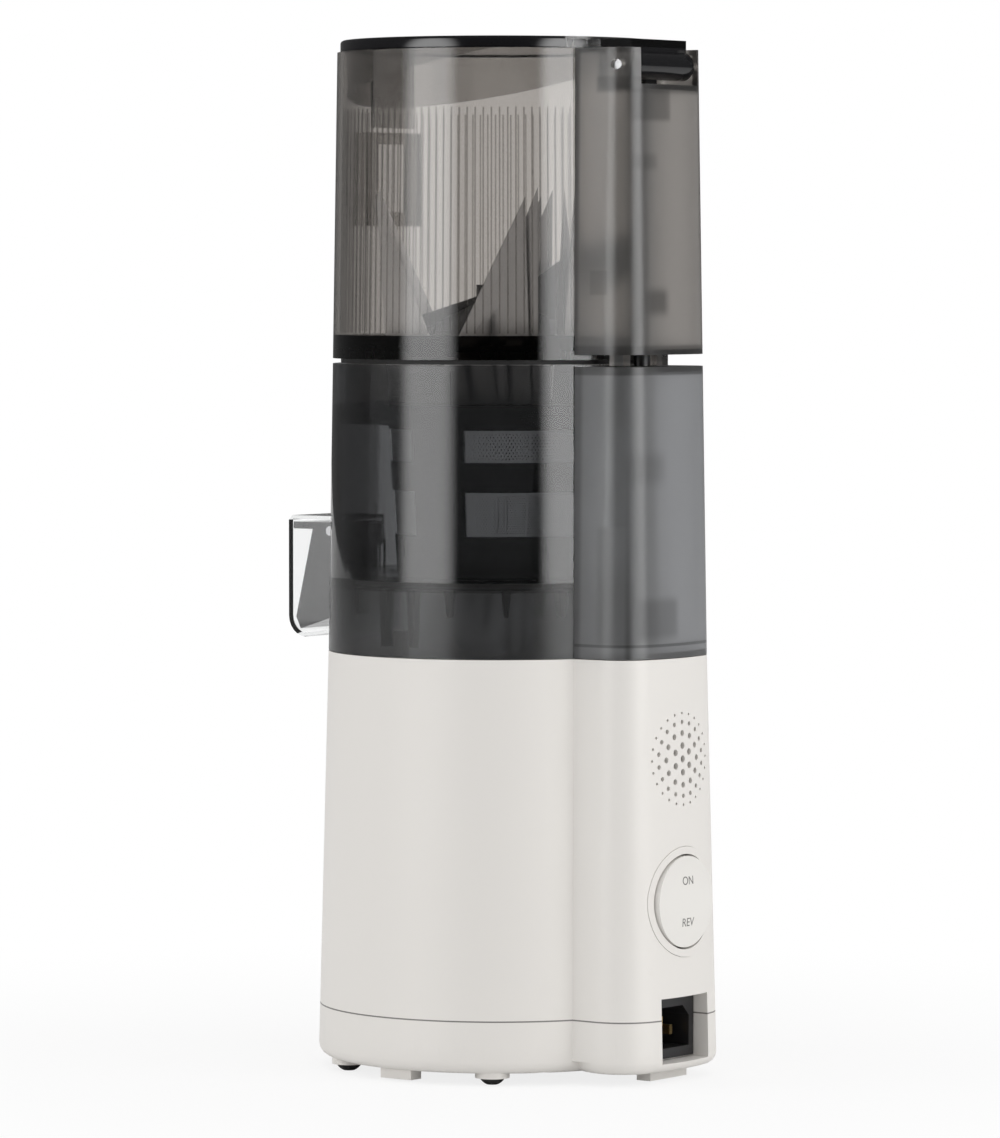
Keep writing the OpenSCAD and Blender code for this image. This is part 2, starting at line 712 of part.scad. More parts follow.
module drive_shaft() {
    color("silver") {
        carrier(second_gear_z, second_gear_top + gear_gap);
        rod(drive_r, second_plate_top - lap, hub_top + 1);
        drive_hex(hex_af, hub_top, hub_top + hex_h);
    }
}
module shaft_bushing() {
    color("darkgoldenrod") tube(bushing_r, drive_r + run_gap, deck_z - deck_t - lap, hub_top - 4);
}
module shaft_seal() { color("black") tube(bushing_r, drive_r + run_gap, hub_top - 4, hub_top - 0.5); }

// Control board on posts in the tray
board_x = 40;
board_y = 46;
board_z = tray_z + tray_t + 5;
board_t = 1.6;
board_post_r = 3.4;
board_screw_r = 1.2;
module control_board() {
    color("darkgreen") difference() {
        box(-board_x, board_x, -board_y, board_y, board_z, board_z + board_t);
        at_corners(board_x - 4, board_y - 4) rod(board_screw_r + 0.2, board_z - lap, board_z + board_t + lap);
    }
}
module board_parts() {
    top = board_z + board_t;
    color("dimgray") {
        for (y = [-30, -17]) translate([-22, y, 0]) rod(5, top, top + 13);
        box(-30, -8, 6, 20, top, top + 9);
        box(4, 26, -34, -20, top, top + 11);
        translate([14, 6, 0]) rod(8, top, top + 6);
        box(2, 26, 24, 34, top, top + 8);
    }
}
module board_screws() {
    color("silver") at_corners(board_x - 4, board_y - 4) translate([0, 0, board_z + board_t + 1.6])
        mirror([0, 0, 1]) screw(2.2, 1.6, board_screw_r, board_t + 3.5);
}

// Lid interlock: the lid's hinge presses the upper rod, which presses the lower rod, the plunger and
// the switch in the base. All of them rise together when the lid opens.
rod_gap = 0.3;
micro_top = deck_z - deck_t - 16;
plunger_top = deck_z + 0.6;
lower_rod_z = plunger_top + rod_gap;
lower_rod_top = chamber_top - rod_travel - 2;
upper_rod_z = lower_rod_top + rod_gap;
hinge_z = rim_z - hinge_drop;
lobe_drop = 7.4;
upper_rod_top = hinge_z - lobe_drop - rod_gap;
module interlock_bracket() {
    box(-12, 12, rod_y + 5.5, rod_y + 7.5, micro_top - 12, deck_z - deck_t / 2);
}
module interlock_switch() {
    color("black") difference() {
        box(-10, 10, rod_y - 5, rod_y + 5.5, micro_top - 10, micro_top);
        translate([0, rod_y, 0]) rod(rod_r + slide_gap, micro_top - 5, micro_top + lap);
    }
}
module interlock_plunger() {
    color("white") translate([0, rod_y, 0]) {
        rod(rod_r, micro_top - 4, plunger_top);
        rod(rod_r + 1.5, micro_top + 2, micro_top + 4);
    }
}
module lower_rod() { color("dimgray") translate([0, rod_y, 0]) rod(rod_r, lower_rod_z, lower_rod_top); }
module upper_rod() { color("dimgray") translate([0, rod_y, 0]) rod(rod_r, upper_rod_z, upper_rod_top); }

// Chamber
hub_boss_r = 17;
seal_r = 14;
nozzle_hw = 10.5;
ear_r = 3.4;
ear_t = 2;
pivot_drop = 6.4;
spout_top = chamber_z + spout_rise;
valve_z = spout_top - pivot_drop;
duct_wall = 2;
duct_h = 20;
duct_top = floor_z - floor_t;
plug_x = seat_r - 15.8;
wall_y = -drum_r(valve_z);
mouth_top = [valve_y - 8, valve_z - 17];
mouth_low = [valve_y - 2, valve_z - 30];
mouth_run = (mouth_low - mouth_top) / norm(mouth_low - mouth_top);
mouth_out = [mouth_run[1], -mouth_run[0]];
nozzle_wall = 2;
nozzle_outer = [[wall_y + 1, valve_z - 4], [valve_y - 8, valve_z - 4], mouth_top, mouth_low,
                [wall_y + 1, valve_z - 29]];
nozzle_inner = [[wall_y + drum_wall + 3, valve_z - 4 - nozzle_wall],
                [valve_y - 8 + nozzle_wall, valve_z - 4 - nozzle_wall],
                mouth_top + 1.6 * nozzle_wall * mouth_run - [-nozzle_wall, 0] / 2,
                mouth_top + nozzle_wall * mouth_run + 3 * mouth_out,
                mouth_low - nozzle_wall * mouth_run + 3 * mouth_out,
                mouth_low - nozzle_wall * mouth_run - 2 * mouth_out,
                [wall_y - 1, floor_z - 0.5], [wall_y + drum_wall + 3, floor_z - 0.5]];
module skirt_rib(angle, length) {
    r = drum_r(chamber_z) - drum_wall;
    rotate(angle) translate([r - 5, 0, floor_z - floor_t]) rotate([90, 0, 90])
        linear_extrude(6) polygon([[-2, lap / 2], [2, lap / 2], [0.8, -length], [-0.8, -length]]);
}
module duct_shape(grow, r0, r1) {
    rotate(duct_dir) box(r0, r1, -duct_w / 2 + grow, duct_w / 2 - grow, duct_top - duct_h + grow,
                         duct_top - grow);
}
module chamber_bowl() {
    color("slategray", 0.6) difference() {
        union() {
            difference() {
                drum_form(chamber_z, chamber_top);
                drum_form(chamber_z - lap, floor_z - floor_t, drum_wall);
                drum_form(floor_z, chamber_top + lap, drum_wall);
            }
            for (k = [1 : 360 / rib_step - 1]) if (abs(rib_step * k - 180) > 1
                && abs(rib_step * k - duct_dir) > rib_step) skirt_rib(rib_step * k, 11);
            for (side = [0, 180], a = [-6, 6]) skirt_rib(side + a, skirt_h - floor_t - 4);
            tube(hub_boss_r, stem_r, floor_z - floor_t - 4, floor_z);
            duct_shape(0, 26, duct_reach);
            side_profile(nozzle_outer, 2 * nozzle_hw);
            for (side = [0, 1]) mirror([side, 0, 0]) {
                translate([0, valve_y, valve_z]) cross_rod(ear_r, nozzle_hw - ear_t, nozzle_hw);
                box(nozzle_hw - ear_t, nozzle_hw, valve_y - ear_r + 0.5, valve_y + ear_r - 0.5,
                    valve_z - 5, valve_z);
            }
        }
        rod(seal_r, floor_z - floor_t - 4 - lap, floor_z + lap);
        duct_shape(duct_wall, 28, duct_reach + lap);
        rotate(duct_dir) box(28, 38, -8, 8, duct_top - duct_h / 2, floor_z + lap);
        rotate(duct_dir) box(plug_x - 6, plug_x + 6, -6, 6, duct_top - duct_h - lap,
                             duct_top - duct_h + duct_wall + lap);
        side_profile(nozzle_inner, 2 * nozzle_hw - 4);
        valve_bore();
    }
}
module valve_bore() {
    translate([0, valve_y, valve_z]) cross_rod(hinge_pin_r, -2 * spout_hw, 2 * spout_hw);
}
module bowl_seal() {
    color("gray") tube(seal_r, stem_r + run_gap, floor_z - floor_t - 4, floor_z + 0.5);
}
module pulp_plug() {
    low = duct_top - duct_h;
    color("gray") rotate(duct_dir) {
        box(plug_x - 6 + panel_gap, plug_x + 6 - panel_gap, -6 + panel_gap, 6 - panel_gap,
            low - 0.5, low + duct_wall);
        box(plug_x - 8, plug_x + 8, -8, 8, low - 2, low);
    }
}
back_top = chamber_top - 0.6;
back_low = hopper_z + 2.2;
rod_hole = rod_r + slide_gap;
// Hollow block behind a drum, open towards it
module rear_cover(z0, z1) {
    difference() {
        block_form(z0, z1, 0, 0);
        block_form(z0 + cover_wall, z1 - cover_wall, cover_wall, cover_wall);
        lean_cone(seat_r, z0 - lap, z1 + lap, -panel_gap, -panel_gap);
    }
}
module chamber_back() {
    color("slategray", 0.8) difference() {
        rear_cover(chamber_z, back_top);
        translate([0, rod_y, 0]) rod(rod_hole, chamber_z - lap, back_top + lap);
    }
}

// Strainer
cage_z = floor_z + 0.3;
lower_window = [cage_z + 18, cage_z + 36.5];
upper_window = [cage_z + 49, cage_z + 62.5];
cage_top = cage_z + 65;
plate_z = cage_top + 2.5;
plate_top = plate_z + 6;
neck_z = plate_top + 0.4;
window_start = 19;
function cage_r(z) = strainer_foot_r
    + (strainer_top_r - strainer_foot_r) * (z - cage_z) / (cage_top - cage_z);
module cage_cone(z0, z1, inset) { translate([0, 0, z0])
    cylinder(h = z1 - z0, r1 = cage_r(z0) - inset, r2 = cage_r(z1) - inset); }
module window_sectors(span, shrink) {
    for (i = [0 : 2]) sector(window_start + 120 * i + shrink, window_start + 120 * i + window_angle - shrink,
                             strainer_top_r, span[0] + shrink / 4, span[1] - shrink / 4);
}
module strainer_cage() {
    color("black") difference() {
        union() {
            difference() {
                cage_cone(cage_z, cage_top + 1, 0);
                cage_cone(cage_z - lap, cage_top + 1 + lap, strainer_wall);
            }
            tube(drum_r(plate_top) - drum_wall - slide_gap - 0.4, cage_r(cage_top) - strainer_wall,
                 cage_top, cage_top + 2);
            tube(drum_r(plate_top) - drum_wall - slide_gap - 0.4,
                 drum_r(plate_top) - drum_wall - slide_gap - 2.4, cage_top, plate_top);
        }
        for (span = [lower_window, upper_window]) window_sectors(span, 0);
    }
}
module strainer_mesh() {
    color("silver") for (span = [lower_window, upper_window]) intersection() {
        window_sectors(span, 0.3);
        difference() {
            cage_cone(span[0] - lap, span[1] + lap, 0.6);
            cage_cone(span[0] - 2 * lap, span[1] + 2 * lap, 0.6 + sheet_t);
        }
    }
}

// Screw and cutting wing
stem_z = hub_top + 3.5;
screw_z = floor_z + 1;
screw_top = plate_top + 3;
flight_half = 17;
spigot_h = 8;
module flight_outline() {
    inner = core_top_r - 3;
    for (i = [0, 1]) rotate(180 * i) polygon(concat(
        [for (a = [-flight_half : flight_half : flight_half]) [inner * cos(a), inner * sin(a)]],
        [for (a = [flight_half : -flight_half / 2 : -flight_half]) [flight_r * cos(a), flight_r * sin(a)]]));
}
module juicing_screw() {
    color("dimgray") {
        difference() {
            union() {
                rod(stem_r, stem_z, screw_z + lap);
                translate([0, 0, screw_z])
                    cylinder(h = screw_top - screw_z, r1 = core_foot_r, r2 = core_top_r);
                drive_hex(hex_af, screw_top - lap, screw_top + spigot_h);
            }
            drive_hex(hex_af + 2 * slide_gap, stem_z - lap, hub_top + hex_h + 1);
        }
        difference() {
            translate([0, 0, screw_z])
                linear_extrude(cage_top - screw_z - 3, twist = flight_twist, slices = 50, $fn = 8)
                    flight_outline();
            translate([0, 0, screw_z - lap])
                cylinder(h = screw_top - screw_z, r1 = core_foot_r - 0.5, r2 = core_top_r - 0.5);
        }
    }
}
wing_dir = 127;
wing_t = 5;
module wing_arm(direction, points) {
    rotate(direction) translate([0, wing_t / 2, 0]) rotate([90, 0, 0]) linear_extrude(wing_t) polygon(points);
}
module cutting_wing() {
    z = hopper_z;
    color("black") difference() {
        union() {
            rod(core_top_r, screw_top + slide_gap, z + 4);
            translate([0, 0, z + 1]) cylinder(h = 8, r1 = feed_r - 4, r2 = feed_r - 10);
            translate([0, 0, z + 9]) cylinder(h = 15, r1 = feed_r - 10, r2 = 9);
            rod(9, z + 8, z + 31);
            wing_arm(wing_dir, [[0, z + 6], [24, z + 10], [34, z + 24], [60, z + 36], [62, z + 54],
                                [34, z + 47], [10, z + 29], [0, z + 29]]);
            wing_arm(wing_dir + 180, [[0, z + 6], [30, z + 8], [44, z + 13], [42, z + 15], [12, z + 25],
                                      [0, z + 29]]);
        }
        drive_hex(hex_af + 2 * slide_gap, screw_top - lap, screw_top + spigot_h + 1);
    }
}

// Juice valve: a black body with a clear cover, both swinging on a pin above the nozzle
body_hw = spout_hw - spout_wall - panel_gap;
body_inner = body_hw - 2.5;
front_y = -(spout_y - spout_wall - panel_gap);
valve_back = valve_y + 2.5;
valve_low = chamber_z + 6;
cover_low = chamber_z + 2.6;
cover_corner = 9;
seal_t = 3;
seal_face = [mouth_top - 0.6 * mouth_run + slide_gap * mouth_out,
             mouth_low + 0.6 * mouth_run + slide_gap * mouth_out];
seal_rear = [seal_face[0] + seal_t * mouth_out, seal_face[1] + seal_t * mouth_out];
module juice_valve() {
    color("black") difference() {
        union() {
            side_profile([[valve_back, valve_z + 3.6], [front_y, valve_z + 3.6], [front_y, valve_z + 0.6],
                          [valve_back, valve_z + 0.6]], 2 * body_hw);
            side_profile([[valve_back, valve_z + 1], [valve_y - 10.5, valve_z + 1],
                          [front_y + 1, valve_low + 5], [front_y + 3.5, valve_low],
                          [valve_back, valve_low + 6]],
                         2 * body_hw - 1);
        }
        difference() {
            side_profile([[valve_back + lap, valve_z - 2], [valve_y - 9.4, valve_z - 2],
                          [front_y + 3.5, valve_low + 6], [front_y + 5, valve_low + 3.5],
                          [valve_back + lap, valve_low + 9.5]], 2 * body_inner);
            side_profile([seal_rear[0], seal_rear[1], [valve_y - 17.9, valve_z - 35.5],
                          [valve_y - 14.4, valve_z - 20]], 2 * nozzle_hw - 7);
        }
        box(-body_inner, body_inner, valve_y - ear_r - 0.6, valve_back + lap, valve_z - 3, valve_z + 4);
        valve_bore();
    }
}
module juice_cover() {
    low = cover_low;
    arc = [for (a = [180 : 15 : 270]) [-spout_y + cover_corner + cover_corner * cos(a),
                                       low + cover_corner + cover_corner * sin(a)]];
    inner_r = cover_corner - spout_wall;
    inner_arc = [for (a = [180 : 15 : 270]) [-spout_y + cover_corner + inner_r * cos(a),
                                             low + cover_corner + inner_r * sin(a)]];
    color("white", 0.35) difference() {
        side_profile(concat([[valve_back, spout_top], [-spout_y + 2, spout_top], [-spout_y, spout_top - 2]],
                            arc, [[valve_back, low + 2.5]]), 2 * spout_hw);
        side_profile(concat([[valve_back + lap, spout_top - spout_wall],
                             [-spout_y + spout_wall, spout_top - spout_wall]],
                            inner_arc, [[valve_back + lap, low + 2.5 + spout_wall]]),
                     2 * (spout_hw - spout_wall));
        valve_bore();
    }
}
module valve_seal() {
    color("gray") side_profile([seal_face[0], seal_face[1], seal_rear[1], seal_rear[0]], 2 * nozzle_hw - 2);
}
module valve_pin() {
    color("silver") for (side = [0, 1]) mirror([side, 0, 0])
        translate([0, valve_y, valve_z]) cross_rod(hinge_pin_r - run_gap, nozzle_hw - ear_t, spout_hw);
}

// Hopper
neck_r = drum_r(hopper_z) - drum_wall - 2.6;
neck_wall = 2;
lug_deg = 40;
funnel_h = 10;
module hopper_drum() {
    color("dimgray", 0.6) {
        difference() {
            drum_form(hopper_z, rim_z);
            drum_form(hopper_z + funnel_h, rim_z + lap, drum_wall);
            translate([0, 0, hopper_z + 3]) cylinder(h = funnel_h - 3 + 0.01, r1 = feed_r,
                                                     r2 = drum_r(hopper_z + funnel_h) - drum_wall);
            rod(feed_r, hopper_z - lap, hopper_z + 4);
        }
        tube(neck_r, neck_r - neck_wall, neck_z, hopper_z + 1);
        intersection() {
            tube(neck_r + 1.6, neck_r - 0.5, neck_z, chamber_top - 3);
            for (i = [0 : 2]) sector(120 * i - lug_deg / 2, 120 * i + lug_deg / 2, neck_r,
                                     neck_z, chamber_top - 3);
        }
    }
}
module hopper_gasket() {
    color("black") tube(drum_r(hopper_z) - 3.4, neck_r + panel_gap, chamber_top + slide_gap, hopper_z);
}
tab_low = back_top + slide_gap;
hinge_floor = hinge_z - lobe_drop - 0.6;
module hopper_back() {
    color("dimgray", 0.8) difference() {
        union() {
            rear_cover(back_low, rim_z);
            box(14, 19, rod_y - 3, rod_y + 4, tab_low, back_low + 1);
            box(-13, -5, rod_y - 2, rod_y + 4, tab_low, back_low + 1);
            intersection() {
                block_form(hinge_floor - cover_wall, rim_z, 0.5, 0.5);
                difference() {
                    box(-hinge_hw - cover_wall, hinge_hw + cover_wall, rod_y - 6, 2 * block_y,
                        hinge_floor - cover_wall, rim_z);
                    lean_cone(seat_r, back_low, rim_z + lap, -panel_gap, -panel_gap);
                }
            }
        }
        box(-hinge_hw, hinge_hw, rod_y - 4.5, 2 * block_y, hinge_floor, rim_z + lap);
        translate([0, rod_y, 0]) rod(rod_hole, back_low - lap, rim_z);
        translate([0, hinge_y, hinge_z]) cross_rod(hinge_pin_r + fit_gap, -block_hw, block_hw);
    }
}
module hinge_pin() {
    reach = corner_x + sqrt(pow(block_corner + swell(hinge_z), 2) - pow(hinge_y + hinge_pin_r - corner_y, 2));
    color("silver") translate([0, hinge_y, hinge_z]) cross_rod(hinge_pin_r, -reach, reach);
}
guard_y = rim_r - 11.8;
guard_hw = 19;
guard_top = rim_z - 33;
guard_h = 40;
module chute_guard() {
    color("dimgray", 0.6) difference() {
        union() {
            box(-guard_hw, guard_hw, -guard_y - 2, -guard_y, guard_top - guard_h, guard_top);
            for (side = [-1, 1]) box(side * (guard_hw - 1) - 1, side * (guard_hw - 1) + 1, -guard_y - 10,
                                     -guard_y - 1, guard_top - guard_h, guard_top);
        }
        box(-11, 11, -guard_y - 3, -guard_y + 1, guard_top - guard_h + 6, guard_top - 5);
        difference() {
            rod(2 * seat_r, guard_top - guard_h - lap, guard_top + lap);
            drum_form(guard_top - guard_h - 2 * lap, guard_top + 2 * lap, drum_wall + 0.05);
        }
    }
}

// Lid
lid_skirt_r = drum_r(rim_z) - drum_wall - 1.6;
skirt_end_y = 38;
arm_hw = hinge_hw - 0.6;
arm_front = lid_r - 8;
arm_z = rim_z + 0.5;
module lid() {
    color("dimgray", 0.6) {
        tube(lid_r, lid_r - 3, lid_z, lid_top);
        rod(lid_r - 2, lid_z + 0.6, lid_z + 0.6 + lid_t);
        difference() {
            tube(lid_skirt_r, lid_skirt_r - 2, lid_z - 30, lid_z + 1);
            translate([0, skirt_end_y, lid_z]) rotate([skirt_slope, 0, 0])
                box(-2 * lid_r, 2 * lid_r, -4 * lid_r, 4 * lid_r, -80, 0);
        }
        box(-14, 14, -guard_y - 2, -guard_y, guard_top + 2, lid_z + 1);
        difference() {
            box(-arm_hw, arm_hw, arm_front, hinge_y + 2, arm_z, lid_z + 0.6 + lid_t);
            rod(lid_r - 2.5, arm_z - lap, lid_top);
        }
    }
}
module lid_hinge() {
    color("black") difference() {
        union() {
            translate([0, hinge_y, hinge_z]) {
                cross_rod(barrel_r, -arm_hw, arm_hw);
                box(-4, 4, -6.5, -2, -lobe_drop, 0);
            }
            box(-arm_hw, arm_hw, hinge_y - 4, hinge_y + 2, hinge_z, arm_z);
        }
        translate([0, hinge_y, hinge_z]) cross_rod(hinge_pin_r + run_gap, -block_hw, block_hw);
    }
}

base_shell();
base_tray();
feet();
tray_screws();
switch_bezel();
switch_rocker();
switch_body();
power_inlet();
inlet_pins();
gearbox_housing();
gearbox_cover();
gearbox_screws();
output_bearing();
motor_can();
motor_end_cap();
motor_bearings();
stator_core();
stator_windings();
motor_shaft();
rotor();
cooling_fan();
motor_pinion();
first_planet_a();
first_planet_b();
first_planet_c();
first_carrier();
second_planet_a();
second_planet_b();
second_planet_c();
drive_shaft();
shaft_bushing();
shaft_seal();
control_board();
board_parts();
board_screws();
interlock_switch();
interlock_plunger();
chamber_bowl();
chamber_back();
bowl_seal();
pulp_plug();
lower_rod();
strainer_cage();
strainer_mesh();
juicing_screw();
cutting_wing();
juice_valve();
juice_cover();
valve_seal();
valve_pin();
hopper_drum();
hopper_back();
hopper_gasket();
chute_guard();
upper_rod();
hinge_pin();
lid();
lid_hinge();
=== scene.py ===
# %% [markdown]
# # A cold press juicer
#
# A slow juicer is a stack. A white motor base carries a clear juicing chamber, the chamber carries a tall
# clear hopper, and a hinged lid closes the hopper. A hollow rear block runs up all three. The imported model
# already has every part at its true size, so this file gives the parts their finish: smooth surfaces, soft
# edges, moulded flutes, drilled steel sheet, tinted plastic and light.
#
# The frame comes first.

# %% Load the frame
import json
import math

import bmesh
import bpy
from mathutils import Matrix, Vector

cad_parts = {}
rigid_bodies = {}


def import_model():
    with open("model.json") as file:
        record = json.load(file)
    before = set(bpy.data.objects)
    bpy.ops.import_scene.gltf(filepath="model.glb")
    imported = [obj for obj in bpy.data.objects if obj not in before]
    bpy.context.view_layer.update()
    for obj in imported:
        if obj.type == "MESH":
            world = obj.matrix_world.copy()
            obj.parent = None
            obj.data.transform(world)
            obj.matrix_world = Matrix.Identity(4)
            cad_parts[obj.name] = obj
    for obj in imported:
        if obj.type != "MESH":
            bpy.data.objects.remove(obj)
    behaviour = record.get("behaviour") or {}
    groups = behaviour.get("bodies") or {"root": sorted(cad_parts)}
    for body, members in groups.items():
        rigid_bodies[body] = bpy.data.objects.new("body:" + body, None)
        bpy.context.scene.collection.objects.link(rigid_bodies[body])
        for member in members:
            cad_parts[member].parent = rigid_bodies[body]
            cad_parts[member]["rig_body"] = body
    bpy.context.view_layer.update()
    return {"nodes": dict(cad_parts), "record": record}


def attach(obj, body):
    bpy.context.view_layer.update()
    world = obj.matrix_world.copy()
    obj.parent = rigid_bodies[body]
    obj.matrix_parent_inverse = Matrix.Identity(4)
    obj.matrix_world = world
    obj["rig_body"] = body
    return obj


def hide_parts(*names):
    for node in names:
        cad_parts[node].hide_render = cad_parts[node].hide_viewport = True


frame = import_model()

MM = 0.001

# %% [markdown]
# ## The camera
#
# The juicer is seen from its right rear, from far away with a long lens, so that its sides hardly
# converge. A camera looks along its own -Z axis, so a direction turned into a track quaternion aims it.
# A long lens from 2.6 m keeps the proportions of a catalogue picture.

# %% Place the camera
camera_data = bpy.data.cameras.new("camera")
camera_data.lens = 193.7
camera_data.sensor_width = 36
camera_data.shift_x = 0.0022
camera = bpy.data.objects.new("camera", camera_data)
camera.location = (2.0765, 1.5647, 0.3384)
camera.rotation_euler = (Vector((0, 0, 0.2113)) - camera.location).to_track_quat("-Z", "Y").to_euler()
bpy.context.scene.collection.objects.link(camera)
bpy.context.scene.camera = camera
print("camera distance:", round(camera.location.length, 3))

# %% [markdown]
# ## Writing shaders as sums
#
# A material's pattern is arithmetic on coordinates. Wiring Math nodes one by one is slow to read, so a
# small class wraps a socket: adding two wrapped sockets adds the Math node, and node() makes any other.

# %% A wrapper for shader sockets
class Wire:
    def __init__(self, tree, socket):
        self.tree = tree
        self.socket = socket

    def math(self, operation, *values):
        return node(self.tree, "ShaderNodeMath", {"operation": operation}, list(values))

    def __add__(self, other): return self.math("ADD", self, other)
    def __radd__(self, other): return self.math("ADD", other, self)
    def __sub__(self, other): return self.math("SUBTRACT", self, other)
    def __rsub__(self, other): return self.math("SUBTRACT", other, self)
    def __mul__(self, other): return self.math("MULTIPLY", self, other)
    def __rmul__(self, other): return self.math("MULTIPLY", other, self)
    def __truediv__(self, other): return self.math("DIVIDE", self, other)
    def __lt__(self, other): return self.math("LESS_THAN", self, other)
    def __gt__(self, other): return self.math("GREATER_THAN", self, other)


def node(tree, kind, settings=None, inputs=None, output=0):
    made = tree.nodes.new(kind)
    for name, value in (settings or {}).items():
        if name == "stops":
            ramp = made.color_ramp.elements
            while len(ramp) < len(value):
                ramp.new(0.5)
            for stop, (place, colour) in zip(ramp, value):
                stop.position, stop.color = place, (*colour, 1)
        else:
            setattr(made, name, value)
    pairs = inputs.items() if isinstance(inputs, dict) else enumerate(inputs or [])
    for key, value in pairs:
        if isinstance(value, Wire):
            tree.links.new(value.socket, made.inputs[key])
        elif value is not None:
            made.inputs[key].default_value = value
    return Wire(tree, made.outputs[output])


# %% [markdown]
# ## Moulded plastic
#
# Every moulded part shares one recipe: a Principled shader with constants on its own sockets, a very
# fine bump for the skin that the mould leaves, and a slow change of roughness, because no real surface
# is evenly polished. Only the numbers differ from part to part.

# %% The base recipe
def blank(name):
    material = bpy.data.materials.new(name)
    material.use_nodes = True
    tree = material.node_tree
    shader = next(n for n in tree.nodes if n.type == "BSDF_PRINCIPLED")
    place = node(tree, "ShaderNodeTexCoord", output=3)
    return material, tree, shader, place


def noise(tree, place, scale, detail=2.0):
    return node(tree, "ShaderNodeTexNoise", {}, {"Vector": place, "Scale": scale, "Detail": detail})


def moulded(name, colour, rough, grain=0.03, grain_scale=2600, **sockets):
    material, tree, shader, place = blank(name)
    shader.inputs["Base Color"].default_value = (*colour, 1)
    cloud = noise(tree, place, 14.0)
    tree.links.new((cloud * 0.1 + (rough - 0.05)).socket, shader.inputs["Roughness"])
    if grain:
        skin = noise(tree, place, grain_scale, 1.0)
        bump = node(tree, "ShaderNodeBump", {}, {"Strength": grain, "Distance": 0.0002, "Height": skin})
        tree.links.new(bump.socket, shader.inputs["Normal"])
    for key, value in sockets.items():
        shader.inputs[key.replace("_", " ")].default_value = value
    return material


# %% The opaque finishes
def white_with_painted_seam_shadow(height=27.0, half=0.3):
    """The shell's white, with a painted shadow line in the gap between shell and tray."""
    white = (0.80, 0.775, 0.74)
    material = moulded("white_shell", white, 0.42, 0.05)
    tree = material.node_tree
    shader = next(n for n in tree.nodes if n.type == "BSDF_PRINCIPLED")
    place = node(tree, "ShaderNodeTexCoord", output=3)
    level = node(tree, "ShaderNodeSeparateXYZ", {}, [place], output=2)
    # Painted shadow: a thin dark band at the seam's height stands for the shade in the gap.
    seam_shadow = (level > (height - half) * MM) * (level < (height + half) * MM)
    colour = node(tree, "ShaderNodeMix", {"data_type": "RGBA"}, {
        0: seam_shadow, 6: (*white, 1), 7: (0.2, 0.19, 0.18, 1)}, output=2)
    tree.links.new(colour.socket, shader.inputs["Base Color"])
    return material


finish = {
    "white_shell": white_with_painted_seam_shadow(),
    "white_gloss": moulded("white_gloss", (0.82, 0.80, 0.765), 0.25, 0.0),
    "black_rubber": moulded("black_rubber", (0.012, 0.012, 0.012), 0.6, 0.1),
    "grey_rubber": moulded("grey_rubber", (0.12, 0.12, 0.125), 0.5, 0.08),
    "dark_plastic": moulded("dark_plastic", (0.014, 0.014, 0.015), 0.38, 0.05),
    "black_gloss": moulded("black_gloss", (0.008, 0.008, 0.009), 0.12, 0.0),
    "gear_nylon": moulded("gear_nylon", (0.68, 0.64, 0.55), 0.45, 0.04),
    "board_laminate": moulded("board_laminate", (0.01, 0.06, 0.02), 0.35, 0.05),
    "grey_ink": moulded("grey_ink", (0.16, 0.155, 0.15), 0.5, 0.0),
}

# %% [markdown]
# ## Metals
#
# Metal is the same shader with Metallic at 1. Turned and brushed parts carry fine parallel scratches,
# which a noise stretched along one axis imitates in the roughness and the bump.

# %% Brushed and cast metals
def metal(name, colour, rough, stretch=(1, 1, 60)):
    material, tree, shader, place = blank(name)
    shader.inputs["Base Color"].default_value = (*colour, 1)
    shader.inputs["Metallic"].default_value = 1.0
    drawn = node(tree, "ShaderNodeMapping", {}, {"Vector": place, "Scale": stretch})
    scratch = noise(tree, drawn, 900, 3.0)
    tree.links.new((scratch * 0.22 + (rough - 0.11)).socket, shader.inputs["Roughness"])
    bump = node(tree, "ShaderNodeBump", {}, {"Strength": 0.06, "Distance": 0.0001, "Height": scratch})
    tree.links.new(bump.socket, shader.inputs["Normal"])
    return material


finish.update({
    "steel": metal("steel", (0.60, 0.60, 0.61), 0.30),
    "cast_aluminium": metal("cast_aluminium", (0.52, 0.52, 0.53), 0.48, (1, 1, 1)),
    "contact_brass": metal("contact_brass", (0.66, 0.48, 0.22), 0.3),
    "copper_wire": metal("copper_wire", (0.50, 0.19, 0.08), 0.35),
})

# %% [markdown]
# ## Tinted clear plastic
#
# The hopper and the chamber are smoke-coloured clear plastic. The dye is in the whole wall, so a wall
# seen edge-on is nearly black and a wall seen square-on is pale. A colour on the surface cannot do that.
# An absorption volume inside the closed wall can: it darkens with the distance that light travels. On
# top of that, the surface colour carries painted shade, darker where a round wall turns away from view.
# The rear covers are the same plastic with a spark-eroded skin, which blurs what is behind them: that
# is transmission with a high roughness.

# %% Clear and frosted finishes
def between(tree, value, low, high, soft):
    """1 between low and high, 0 outside, with a soft step at both ends (millimetres)."""
    rise = node(tree, "ShaderNodeMapRange", {"interpolation_type": "SMOOTHSTEP"}, {
        "Value": value, "From Min": (low - soft) * MM, "From Max": (low + soft) * MM})
    fall = node(tree, "ShaderNodeMapRange", {"interpolation_type": "SMOOTHSTEP"}, {
        "Value": value, "From Min": (high - soft) * MM, "From Max": (high + soft) * MM})
    return rise * (1 - fall)


def tone_of(tree, place, boxes):
    """How much of the light is left: each box (x, y and z span, softness, loss) takes its share."""
    axes = [node(tree, "ShaderNodeSeparateXYZ", {}, [place], output=axis) for axis in range(3)]
    tone = 1.0
    for spans, soft, loss in boxes:
        share = loss
        for axis, span in zip(axes, spans):
            if span:
                share = between(tree, axis, *span, soft) * share
        tone = (1 - share) * tone
    return tone


